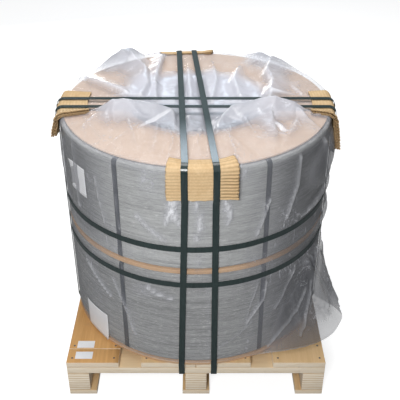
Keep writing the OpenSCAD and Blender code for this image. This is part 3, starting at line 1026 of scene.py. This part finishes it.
def tailShape(angle, z):
    a0, a1, a2, a3 = film["tailAngles"]
    degrees = np.degrees(angle)
    flare = smoothStep(a0, a1, degrees) ** 1.4 * (1.0 - smoothStep(a2, a3, degrees))
    down = np.clip((film["tailTop"] - z) / (film["tailTop"] - stack["filmFoot"]), 0.0, 1.0)
    return flare, down


# How firmly each point of the film is held by the straps, the pads and the hem
def heldShare(co):
    radius = np.hypot(co[:, 0], co[:, 1])
    angle = np.arctan2(co[:, 0], -co[:, 1])
    z = co[:, 2]
    side = z < stack["rimZ"]
    held = np.zeros(len(co))
    for level in ("lower", "upper"):
        held = np.maximum(held, 1.0 - smoothStep(0.011, 0.034, np.abs(z - girth[level])))
    for spec in loadStraps.values():
        for end in (0, 1):
            lowAngle = math.asin(spec["low"] / stack["filmR"])
            topAngle = math.radians(spec["angles"][end])
            share = np.clip((z - stack["deckTop"]) / (stack["filmTop"] - stack["deckTop"] - 0.1), 0.0, 1.0)
            at = lowAngle + (topAngle - lowAngle) * share
            if end == 1:
                at = math.pi - at
            at = at + math.radians(spec["turn"])
            off = (angle - at + math.pi) % (2.0 * math.pi) - math.pi
            held = np.maximum(held, side * (1.0 - smoothStep(0.010, 0.015, np.abs(off) * stack["filmR"])))
    for node, spec in pads.items():
        off = (angle - math.radians(spec["angle"]) + math.pi) % (2.0 * math.pi) - math.pi
        under = np.abs(off) * stack["filmR"] < padSpec["width"] / 2.0 + 0.002
        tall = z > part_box(node)[0].z - 0.004
        reach = radius > stack["filmR"] - spec["reach"] - 0.004
        held = np.maximum(held, 1.0 * (under & tall & reach))
    hem = 1.0 - smoothStep(stack["filmFoot"] + 0.006, stack["filmFoot"] + 0.016, z)
    return np.maximum(held, hem)


def addWeights(piece, name, weights):
    group = piece.vertex_groups.new(name=name)
    for level in np.unique(np.round(weights, 2)):
        if level > 0.0:
            members = np.nonzero(np.round(weights, 2) == level)[0].tolist()
            group.add(members, float(level), "REPLACE")
    return name


# The stack under the film, for the film to lie on while it settles
def makeRest():
    foot = stack["filmFoot"] - restSpec["below"]
    r = stack["coilR"] + restSpec["clear"]
    bore = stack["boreR"]
    top = stack["filmTop"] - restSpec["under"]
    ease = restSpec["ease"]
    lip = restSpec["lip"]
    outline = [(bore, foot), (r, foot), (r, top - ease), (r - 0.3 * ease, top - 0.3 * ease)]
    outline += [(r - ease, top), (bore + lip, top), (bore, top - lip)]
    mesh = bpy.data.meshes.new("filmRest")
    bm = turned(outline, restSpec["steps"])
    bm.to_mesh(mesh)
    bm.free()
    rest = bpy.data.objects.new("filmRest", mesh)
    bpy.context.scene.collection.objects.link(rest)
    rest.modifiers.new("touch", "COLLISION")
    rest.collision.thickness_outer = 0.001
    return rest


def settleFilm(piece, held, grow):
    rest = makeRest()
    cloth = piece.modifiers.new("settle", "CLOTH")
    settings = cloth.settings
    for name, value in clothSpec.items():
        setattr(settings, name, value)
    settings.vertex_group_mass = addWeights(piece, "held", held)
    settings.vertex_group_shrink = addWeights(piece, "grow", grow)
    settings.shrink_min = film["growSide"]
    settings.shrink_max = film["growTop"]
    cloth.collision_settings.distance_min = 0.0012
    cloth.collision_settings.use_self_collision = False
    cloth.point_cache.frame_start = 1
    cloth.point_cache.frame_end = film["frames"]
    scene = bpy.context.scene
    for step in range(1, film["frames"] + 1):
        scene.frame_set(step)
    settled = evaluated(piece)
    co = points(settled)
    bpy.data.meshes.remove(settled)
    piece.modifiers.remove(cloth)
    piece.vertex_groups.clear()
    bpy.data.objects.remove(rest)
    scene.frame_set(1)
    return co


# Folds on top, where the straps and the trapped air push the film up
folds = [
    # half width on the left of the line, on its right, then x, y and height of each point
    (0.018, 0.060, [(-0.315, -0.112, 0.006), (-0.252, -0.100, 0.050), (-0.190, -0.098, 0.045),
                    (-0.118, -0.099, 0.042), (-0.072, -0.106, 0.034), (-0.062, -0.170, 0.014)]),
    (0.012, 0.040, [(-0.258, -0.100, 0.042), (-0.268, -0.147, 0.022), (-0.248, -0.240, 0.006)]),
    (0.060, 0.018, [(0.335, -0.105, 0.012), (0.300, -0.100, 0.037), (0.240, -0.098, 0.056),
                    (0.171, -0.099, 0.048), (0.109, -0.102, 0.040), (0.082, -0.140, 0.026),
                    (0.066, -0.215, 0.008)]),
    (0.014, 0.065, [(0.242, -0.100, 0.052), (0.226, -0.140, 0.036), (0.228, -0.206, 0.024),
                    (0.233, -0.302, 0.004)]),
    (0.040, 0.012, [(0.166, -0.100, 0.042), (0.195, -0.150, 0.028), (0.239, -0.206, 0.022)]),
    (0.014, 0.040, [(0.300, -0.100, 0.032), (0.325, -0.147, 0.022), (0.371, -0.235, 0.008)]),
    (0.075, 0.018, [(0.262, 0.300, 0.030), (0.240, 0.180, 0.036), (0.252, 0.100, 0.034),
                    (0.239, 0.026, 0.032)]),
    (0.018, 0.070, [(-0.230, 0.310, 0.048), (-0.170, 0.192, 0.036), (-0.158, 0.090, 0.032),
                    (-0.176, 0.020, 0.026)]),
    (0.011, 0.045, [(-0.119, 0.319, 0.026), (-0.136, 0.146, 0.022), (-0.128, 0.026, 0.018)]),
    (0.050, 0.013, [(-0.353, 0.130, 0.020), (-0.280, 0.066, 0.026), (-0.225, 0.026, 0.020)]),
    (0.011, 0.011, [(-0.030, 0.290, 0.007), (-0.022, 0.137, 0.009), (-0.014, 0.043, 0.006)]),
    (0.011, 0.040, [(0.060, 0.290, 0.012), (0.068, 0.153, 0.018), (0.055, 0.043, 0.014)]),
    (0.030, 0.012, [(0.150, 0.250, 0.016), (0.125, 0.150, 0.022), (0.140, 0.030, 0.020)]),
    (0.012, 0.022, [(0.068, -0.178, 0.010), (0.109, -0.276, 0.008), (0.157, -0.366, 0.003)]),
    (0.014, 0.034, [(-0.112, -0.200, 0.012), (-0.117, -0.322, 0.007), (-0.102, -0.408, 0.002)]),
    (0.022, 0.095, [(-0.347, 0.217, 0.004), (-0.300, 0.280, 0.036), (-0.263, 0.314, 0.054),
                    (-0.232, 0.338, 0.048), (-0.190, 0.363, 0.012)]),
    (0.022, 0.085, [(0.160, 0.377, 0.005), (0.223, 0.344, 0.028), (0.285, 0.295, 0.024),
                    (0.340, 0.229, 0.004)]),
    (0.012, 0.030, [(-0.330, -0.150, 0.010), (-0.290, -0.235, 0.009), (-0.220, -0.330, 0.003)]),
    (0.030, 0.012, [(0.300, -0.170, 0.016), (0.270, -0.250, 0.011), (0.240, -0.335, 0.003)]),
    (0.010, 0.026, [(-0.205, -0.150, 0.018), (-0.180, -0.240, 0.009), (-0.160, -0.330, 0.003)]),
    (0.026, 0.010, [(0.140, -0.150, 0.018), (0.175, -0.250, 0.009), (0.190, -0.320, 0.003)]),
    (0.012, 0.030, [(0.330, 0.030, 0.016), (0.300, 0.110, 0.018), (0.330, 0.200, 0.008)]),
    (0.009, 0.014, [(-0.300, -0.130, 0.012), (-0.330, -0.190, 0.010), (-0.315, -0.265, 0.005)]),
    (0.012, 0.009, [(-0.160, -0.170, 0.010), (-0.215, -0.260, 0.008), (-0.250, -0.330, 0.005)]),
    (0.009, 0.012, [(-0.085, -0.180, 0.011), (-0.062, -0.280, 0.009), (-0.075, -0.390, 0.006)]),
    (0.012, 0.009, [(0.105, -0.160, 0.011), (0.098, -0.270, 0.009), (0.115, -0.385, 0.006)]),
    (0.009, 0.012, [(0.205, -0.220, 0.012), (0.270, -0.265, 0.009), (0.330, -0.255, 0.005)]),
    (0.010, 0.010, [(0.020, -0.200, 0.008), (0.008, -0.290, 0.007), (0.016, -0.370, 0.005)]),
]
pleats = [
    # height, half width, then the angle and height of each point
    (0.006, 0.007, [(-55.4, 0.847), (-54.7, 0.749), (-55.0, 0.641)]),
    (0.006, 0.007, [(-41.5, 0.790), (-39.3, 0.687), (-37.1, 0.625)]),
    (0.004, 0.006, [(-33.0, 0.850), (-31.5, 0.743), (-30.5, 0.640)]),
    (0.008, 0.0045, [(29.9, 0.452), (28.6, 0.386), (21.2, 0.300)]),
    (0.006, 0.0045, [(26.0, 0.452), (23.0, 0.380), (21.0, 0.306)]),
    (0.008, 0.006, [(-9.5, 0.768), (-7.8, 0.729), (-6.4, 0.697)]),
    (0.008, 0.006, [(-7.0, 0.768), (-9.2, 0.735), (-11.2, 0.690)]),
    (0.008, 0.006, [(11.3, 0.766), (13.2, 0.724), (12.2, 0.690)]),
    (0.006, 0.006, [(0.7, 0.766), (1.6, 0.700), (0.8, 0.640)]),
    (0.009, 0.008, [(64.0, 0.660), (49.0, 0.632), (36.0, 0.600)]),
    (0.008, 0.008, [(43.0, 0.845), (42.3, 0.757), (38.0, 0.660)]),
    (0.007, 0.010, [(60.0, 0.850), (62.0, 0.760), (66.0, 0.660)]),
    (0.005, 0.0035, [(50.0, 0.350), (41.0, 0.270), (31.0, 0.185)]),
    (0.004, 0.0035, [(24.0, 0.300), (17.0, 0.255), (7.0, 0.205)]),
    (0.006, 0.0035, [(60.0, 0.440), (52.0, 0.330), (44.0, 0.200)]),
    (0.006, 0.0040, [(69.0, 0.440), (70.0, 0.330), (67.0, 0.200)]),
    (0.005, 0.0035, [(56.0, 0.450), (62.0, 0.330), (65.0, 0.240)]),
    (0.007, 0.007, [(-54.0, 0.455), (-47.2, 0.410), (-38.0, 0.360)]),
    (0.006, 0.007, [(-36.0, 0.440), (-30.0, 0.333), (-26.4, 0.240)]),
    (0.006, 0.006, [(-23.0, 0.705), (-17.2, 0.664), (-11.4, 0.632)]),
    (0.006, 0.006, [(-20.3, 0.452), (-15.2, 0.430), (-9.2, 0.420)]),
    (0.006, 0.0040, [(45.4, 0.455), (39.9, 0.400), (34.0, 0.330)]),
    (0.012, 0.014, [(52.0, 0.450), (57.0, 0.360), (60.0, 0.250)]),
    (0.012, 0.014, [(62.0, 0.450), (66.0, 0.350), (67.0, 0.230)]),
    (0.007, 0.007, [(29.0, 0.743), (26.1, 0.674), (23.9, 0.630)]),
    (0.006, 0.008, [(-66.0, 0.830), (-68.0, 0.740), (-64.0, 0.640)]),
    (0.006, 0.008, [(120.0, 0.840), (121.5, 0.740), (121.0, 0.640)]),
    (0.006, 0.008, [(150.0, 0.840), (147.0, 0.740), (146.5, 0.640)]),
    (0.005, 0.008, [(-120.0, 0.840), (-122.5, 0.720), (-123.0, 0.640)]),
    (0.005, 0.008, [(-150.0, 0.840), (-148.5, 0.740), (-150.0, 0.660)]),
    (0.006, 0.008, [(130.0, 0.440), (132.5, 0.330), (132.0, 0.220)]),
    (0.005, 0.008, [(-134.0, 0.440), (-132.0, 0.340), (-131.0, 0.250)]),
]
bellies = [
    # angle, height, half angle, half height, depth
    (66.0, 0.770, 16.0, 0.075, 0.022),
    (74.0, 0.645, 16.0, 0.022, 0.010),
    (76.0, 0.540, 22.0, 0.030, 0.014),
    (60.0, 0.440, 16.0, 0.030, 0.008),
    (-74.0, 0.740, 16.0, 0.060, 0.004),
    (118.0, 0.740, 22.0, 0.080, 0.014),
    (-118.0, 0.740, 24.0, 0.080, 0.012),
    (150.0, 0.330, 22.0, 0.080, 0.012),
    (-150.0, 0.330, 22.0, 0.080, 0.012),
]


# Distance of each point from a line, the share along it and the side of it
def alongLine(flat, line):
    best = np.full(len(flat), 9.0)
    place = np.zeros(len(flat))
    left = np.zeros(len(flat), dtype=bool)
    for i, (first, last) in enumerate(zip(line, line[1:])):
        run = last - first
        away = flat - first
        share = np.clip((away @ run) / (run @ run), 0.0, 1.0)
        gap = np.linalg.norm(away - share[:, None] * run, axis=1)
        near = gap < best
        best = np.where(near, gap, best)
        place = np.where(near, i + share, place)
        left = np.where(near, run[0] * away[:, 1] - run[1] * away[:, 0] > 0.0, left)
    return best, place, left


# How free the film on top is of the straps that cross it
def offStraps(co):
    free = np.ones(len(co))
    for spec in loadStraps.values():
        ends = []
        for end in (0, 1):
            at = math.radians(spec["angles"][end])
            at = (math.pi - at if end else at) + math.radians(spec["turn"])
            ends.append(np.array(around(at, stack["rimR"], 0.0))[:2])
        gap = alongLine(co[:, :2], np.array(ends))[0]
        free = np.minimum(free, smoothStep(0.010, 0.024, gap))
    return free


# Small sharp folds all over, as in film that was crushed and let go
def crumple(co):
    total = np.zeros(len(co))
    for spacing, share in film["crumples"]:
        field = [abs(noise.noise(Vector(spot) / spacing)) for spot in co]
        total += share * np.clip(1.0 - 3.2 * np.array(field), 0.0, 1.0)
    return total


def shapeTop(co, held):
    onTop = smoothStep(stack["rimZ"] - 0.02, stack["filmTop"] - 0.006, co[:, 2])
    onTop = np.maximum(onTop, np.hypot(co[:, 0], co[:, 1]) < film["topWithin"])
    rise = np.zeros(len(co))
    for leftHalf, rightHalf, line in folds:
        gap, place, left = alongLine(co[:, :2], np.array([(x, y) for x, y, height in line]))
        height = np.interp(place, np.arange(len(line)), [height for x, y, height in line])
        half = np.where(left, leftHalf, rightHalf)
        rise = np.maximum(rise, height * np.exp(-((gap / half) ** 1.35)))
    rise += film["crumple"] * crumple(co)
    rise *= onTop * (1.0 - held) * offStraps(co)
    co[:, 2] += rise
    return co, rise


def shapeSide(co, held):
    radius = np.hypot(co[:, 0], co[:, 1])
    angle = np.arctan2(co[:, 0], -co[:, 1])
    onSide = (1.0 - smoothStep(stack["rimZ"] - 0.02, stack["rimZ"] + 0.01, co[:, 2])) * (1.0 - held)
    flat = np.stack([angle * stack["filmR"], co[:, 2]], axis=1)
    out = np.zeros(len(co))
    for height, half, line in pleats:
        spots = np.array([(math.radians(a) * stack["filmR"], z) for a, z in line])
        gap = alongLine(flat, spots)[0]
        out = np.maximum(out, height * np.exp(-((gap / half) ** 2)))
    for angleAt, z, halfAngle, halfZ, depth in bellies:
        off = (np.degrees(angle) - angleAt) / halfAngle
        out = out + depth * np.exp(-(off ** 2) - ((co[:, 2] - z) / halfZ) ** 2)
    scale = 1.0 + out * onSide / np.maximum(radius, 0.01)
    co[:, 0] *= scale
    co[:, 1] *= scale
    return co, out * onSide


# Keeps the film off the coils and the cover and inside its room
def keepClear(co):
    radius = np.maximum(np.hypot(co[:, 0], co[:, 1]), 0.001)
    side = co[:, 2] < stack["filmTop"] - 0.010
    nearest = np.where(side & (radius > film["wallFrom"]), stack["coilR"] + stack["filmGap"], 0.0)
    scale = np.maximum(radius, nearest) / radius
    co[:, 0] *= scale
    co[:, 1] *= scale
    sag = film["sag"] * (1.0 - smoothStep(0.04, stack["boreR"] - 0.006, radius))
    lowest = stack["filmTop"] - 0.0005 - sag
    co[:, 2] = np.where(radius < stack["rimR"], np.maximum(co[:, 2], lowest), co[:, 2])
    co[:, 2] = np.minimum(co[:, 2], cadHigh.z + film["roomAbove"])
    return co


# Takes up most of the slack of the wall outside the tail
def tightWall(co):
    radius = np.hypot(co[:, 0], co[:, 1])
    flare, down = tailShape(np.arctan2(co[:, 0], -co[:, 1]), co[:, 2])
    wall = (co[:, 2] < stack["rimZ"]) & (radius > film["wallFrom"]) & (flare * down < 0.02)
    scale = np.where(wall, film["slack"] + (1.0 - film["slack"]) * stack["filmR"] / radius, 1.0)
    co[:, 0] *= scale
    co[:, 1] *= scale
    return co


# Painted glare: patches where the film is painted whiter and more opaque, as if it threw the light back, and
# how far they reach
glares = [
    # angle, height, half width, half height, strength
    (-17.5, 0.835, 0.028, 0.050, 0.55),
    (17.5, 0.845, 0.020, 0.030, 0.6),
    (-9.0, 0.740, 0.022, 0.028, 0.7),
    (12.0, 0.738, 0.016, 0.020, 0.7),
    (1.6, 0.690, 0.016, 0.060, 0.45),
    (1.2, 0.560, 0.012, 0.030, 0.5),
    (-31.0, 0.560, 0.050, 0.014, 0.45),
    (-22.0, 0.430, 0.040, 0.024, 0.5),
    (-47.0, 0.720, 0.030, 0.090, 0.25),
    (-55.0, 0.640, 0.030, 0.060, 0.25),
    (-48.0, 0.350, 0.045, 0.080, 0.22),
    (-30.0, 0.330, 0.030, 0.080, 0.18),
    (40.0, 0.700, 0.030, 0.120, 0.16),
    (25.0, 0.545, 0.040, 0.010, 0.5),
    (46.0, 0.560, 0.060, 0.020, 0.35),
    (50.0, 0.300, 0.070, 0.060, 0.22),
    (62.0, 0.240, 0.060, 0.030, 0.35),
    (150.0, 0.700, 0.080, 0.080, 0.2),
    (-140.0, 0.400, 0.080, 0.080, 0.2),
]


def sideFields(co, top):
    angle = np.arctan2(co[:, 0], -co[:, 1])
    glare = np.zeros(len(co))
    for angleAt, z, halfWidth, halfZ, strength in glares:
        off = np.radians(np.degrees(angle) - angleAt) * stack["filmR"] / halfWidth
        glare = np.maximum(glare, strength * np.exp(-(off ** 2) - ((co[:, 2] - z) / halfZ) ** 2))
    gather = np.zeros(len(co))
    for level in (girth["lower"], girth["upper"]):
        away = np.abs(co[:, 2] - level)
        gather = np.maximum(gather, smoothStep(0.008, 0.014, away) * (1.0 - smoothStep(0.020, 0.060, away)))
    sides = 0.35 + 0.65 * smoothStep(18.0, 45.0, np.abs(np.degrees(angle)))
    return glare * (1.0 - top), gather * sides * (1.0 - top)


def inTail(co):
    degrees = math.degrees(math.atan2(co.x, -co.y))
    return co.z < film["tailTop"] and film["fineFrom"] < degrees < film["tailAngles"][3]


# Doubles the mesh on top and in the tail, where the folds are, and evens out the wall
def refineTop(piece):
    bm = bmesh.new()
    bm.from_mesh(piece.data)
    low = stack["rimZ"] - 0.010
    within = film["topWithin"]
    edges = [edge for edge in bm.edges if min(vert.co.z for vert in edge.verts) > low]
    edges += [edge for edge in bm.edges if max(vert.co.xy.length for vert in edge.verts) < within]
    edges += [edge for edge in bm.edges if all(inTail(vert.co) for vert in edge.verts)]
    bmesh.ops.subdivide_edges(bm, edges=list(dict.fromkeys(edges)), cuts=1, use_grid_fill=True)
    free = [vert for vert in bm.verts if vert.co.z > low or vert.co.xy.length < within]
    bmesh.ops.smooth_vert(bm, verts=free, factor=0.5, use_axis_x=True, use_axis_y=True, use_axis_z=True)
    wall = [vert for vert in bm.verts if stack["filmFoot"] + 0.004 < vert.co.z < low]
    for go in range(film["wallPasses"]):
        bmesh.ops.smooth_vert(bm, verts=wall, factor=0.5, use_axis_x=True, use_axis_y=True, use_axis_z=False)
    bm.to_mesh(piece.data)
    bm.free()
    for face in piece.data.polygons:
        face.use_smooth = True


def readField(mesh, name):
    values = np.empty(len(mesh.vertices), dtype=np.float32)
    mesh.attributes[name].data.foreach_get("value", values)
    return values.astype(float)


def creases(mesh, co):
    ends = np.empty(len(mesh.edges) * 2, dtype=np.int32)
    mesh.edges.foreach_get("vertices", ends)
    ends = ends.reshape(-1, 2)
    total = np.zeros_like(co)
    count = np.zeros(len(co))
    for a, b in ((0, 1), (1, 0)):
        np.add.at(total, ends[:, a], co[ends[:, b]])
        np.add.at(count, ends[:, a], 1.0)
    off = np.linalg.norm(total / np.maximum(count, 1.0)[:, None] - co, axis=1)
    sharp = np.where(count > 3, np.clip(off / film["creaseAt"] - 0.3, 0.0, 1.0), 0.6)
    nearby = np.zeros(len(co))
    for a, b in ((0, 1), (1, 0)):
        np.add.at(nearby, ends[:, a], sharp[ends[:, b]])
    return 0.5 * sharp + 0.5 * nearby / np.maximum(count, 1.0)


# How creased and hazy the film looks at each point, with its painted shade and painted glare
def setFilmFields(mesh, co, rise, out):
    radius = np.hypot(co[:, 0], co[:, 1])
    degrees = np.degrees(np.arctan2(co[:, 0], -co[:, 1]))
    top = smoothStep(stack["rimZ"] - 0.01, stack["filmTop"], co[:, 2])
    top = np.maximum(top, radius < 0.25)
    bunched = top * (1.0 - smoothStep(0.185, 0.27, radius))
    lifted = top * smoothStep(0.006, 0.030, rise)
    apart = (1.0 - top) * smoothStep(0.006, 0.022, radius - stack["filmR"])
    glare, gather = sideFields(co, top)
    setField(mesh, "glare", glare)
    setField(mesh, "gather", gather)
    rim = top * smoothStep(0.34, 0.41, radius)
    clear = 0.05 + 0.19 * top
    upper = 0.35 + 0.65 * smoothStep(girth["lower"], girth["upper"], co[:, 2])
    upper = np.maximum(upper, smoothStep(54.0, 72.0, -degrees))
    # Painted shade over the coils' right side and upper left side: the film is made darker and more opaque
    # there
    rightShade = smoothStep(8.0, 45.0, degrees) * (1.0 - smoothStep(80.0, 120.0, degrees))
    leftShade = smoothStep(22.0, 52.0, -degrees) * smoothStep(-120.0, -80.0, degrees)
    shady = np.maximum(rightShade, 0.9 * upper * leftShade) * (1.0 - top)
    pleated = 0.5 * smoothStep(0.003, 0.009, out) * (1.0 - apart) * (1.0 - 0.5 * shady)
    setField(mesh, "crease", np.minimum(creases(mesh, co) * (1.0 - 0.5 * shady) + pleated, 1.0))
    thick = clear + 0.70 * bunched + (0.42 + 0.2 * rim) * lifted * (1.0 - bunched)
    deep = smoothStep(stack["filmFoot"] + 0.01, stack["filmFoot"] + 0.13, co[:, 2])
    setField(mesh, "haze", np.maximum(thick + apart * (0.48 + 0.18 * deep), 0.46 * shady))
    # Painted shade: the film is darker where it stands off the load in the tail, over the shaded sides, over
    # the front of the bore and along lifted folds near the rim
    dusk = np.maximum(apart * (0.55 + 0.45 * deep), 0.9 * shady)
    dusk = np.maximum(dusk, 0.38 * bunched * smoothStep(0.04, -0.14, co[:, 1]))
    setField(mesh, "dusk", np.maximum(dusk, 0.45 * rim * lifted))


def makeFilm():
    piece = newPiece("film_bag_clear", remeshedBag(), clearFilm, ["film_bag"])
    mesh = piece.data
    co = points(mesh)
    angle = np.arctan2(co[:, 0], -co[:, 1])
    radius = np.hypot(co[:, 0], co[:, 1])
    held = heldShare(co)
    flare, down = tailShape(angle, co[:, 2])
    side = co[:, 2] < stack["rimZ"]
    scale = 1.0 + side * film["tailOut"] * flare * down ** 1.15 / np.maximum(radius, 0.01)
    co[:, 0] *= scale
    co[:, 1] *= scale
    co[:, 2] += side * film["tailHem"] * flare * down ** 3
    setPoints(mesh, co)
    setField(mesh, "held", held)
    grow = np.maximum(smoothStep(stack["rimZ"] - 0.05, stack["rimZ"], co[:, 2]), 0.15 * flare * down)
    setPoints(mesh, settleFilm(piece, held, grow))
    refineTop(piece)
    held = readField(mesh, "held")
    co = tightWall(points(mesh))
    co, rise = shapeTop(co, held)
    co, out = shapeSide(co, held)
    co = keepClear(co)
    setPoints(mesh, co)
    setFilmFields(mesh, co, rise, out)
    return piece


bag = makeFilm()
print("film made", len(bag.data.polygons), "faces")


# Floor, studio light and a white background
studio = {
    "floor": 0.42, "floorHalf": 14.0, "glow": 0.80, "ambient": 0.09, "aim": (0.0, 0.0, 0.5),
    "lamps": [
        # name, place, width, power, colour
        ("keyLamp", (-0.40, -2.25, 1.85), 0.9, 44.0, (1.0, 1.0, 1.0)),
        ("topLamp", (-0.1, 0.5, 4.2), 2.6, 92.0, (1.0, 1.0, 1.0)),
        ("skyLamp", (0.0, 3.6, 3.1), 1.4, 26.0, (0.72, 0.87, 1.0)),
        ("backLamp", (-0.9, 3.4, 0.9), 1.2, 42.0, (1.0, 1.0, 1.0)),
    ],
}


def setStudio():
    bm = bmesh.new()
    bmesh.ops.create_grid(bm, x_segments=1, y_segments=1, size=studio["floorHalf"])
    mesh = bpy.data.meshes.new("studioFloor")
    bm.to_mesh(mesh)
    bm.free()
    floor = bpy.data.objects.new("studioFloor", mesh)
    bpy.context.scene.collection.objects.link(floor)
    paint = newFinish("floorPaint", {"Roughness": 0.9, "Specular IOR Level": 0.1})
    level = studio["floor"]
    paint.shader.inputs["Base Color"].default_value = shade(level, level, level)
    seen = shade(studio["glow"], studio["glow"], studio["glow"])
    glow = paint.tint(paint.ray("Is Camera Ray"), shade(0.0, 0.0, 0.0), seen)
    paint.shader.inputs["Emission Strength"].default_value = 1.0
    mesh.materials.append(feed(paint, {"Emission Color": glow}))

    world = bpy.data.worlds.new("studioWorld")
    world.use_nodes = True
    bpy.context.scene.world = world
    bench = Bench(world.node_tree)
    bounced = bench.maths("MAXIMUM", bench.ray("Is Glossy Ray"), bench.ray("Is Transmission Ray"))
    white = bench.maths("MAXIMUM", bench.ray("Is Camera Ray"), bounced)
    ambient = studio["ambient"]
    sky = bench.tint(white, shade(ambient, ambient, ambient * 1.03), shade(1.0, 1.0, 1.0))
    world.node_tree.links.new(sky.socket, world.node_tree.nodes["Background"].inputs["Color"])

    for name, place, size, power, colour in studio["lamps"]:
        data = bpy.data.lights.new(name, "AREA")
        data.shape = "DISK"
        data.size = size
        data.energy = power
        data.color = colour
        lamp = bpy.data.objects.new(name, data)
        lamp.location = place
        aim = Vector(studio["aim"]) - Vector(place)
        lamp.rotation_euler = aim.to_track_quat("-Z", "Y").to_euler()
        bpy.context.scene.collection.objects.link(lamp)
    bpy.context.scene.view_settings.view_transform = "Standard"


setStudio()
print("studio set")
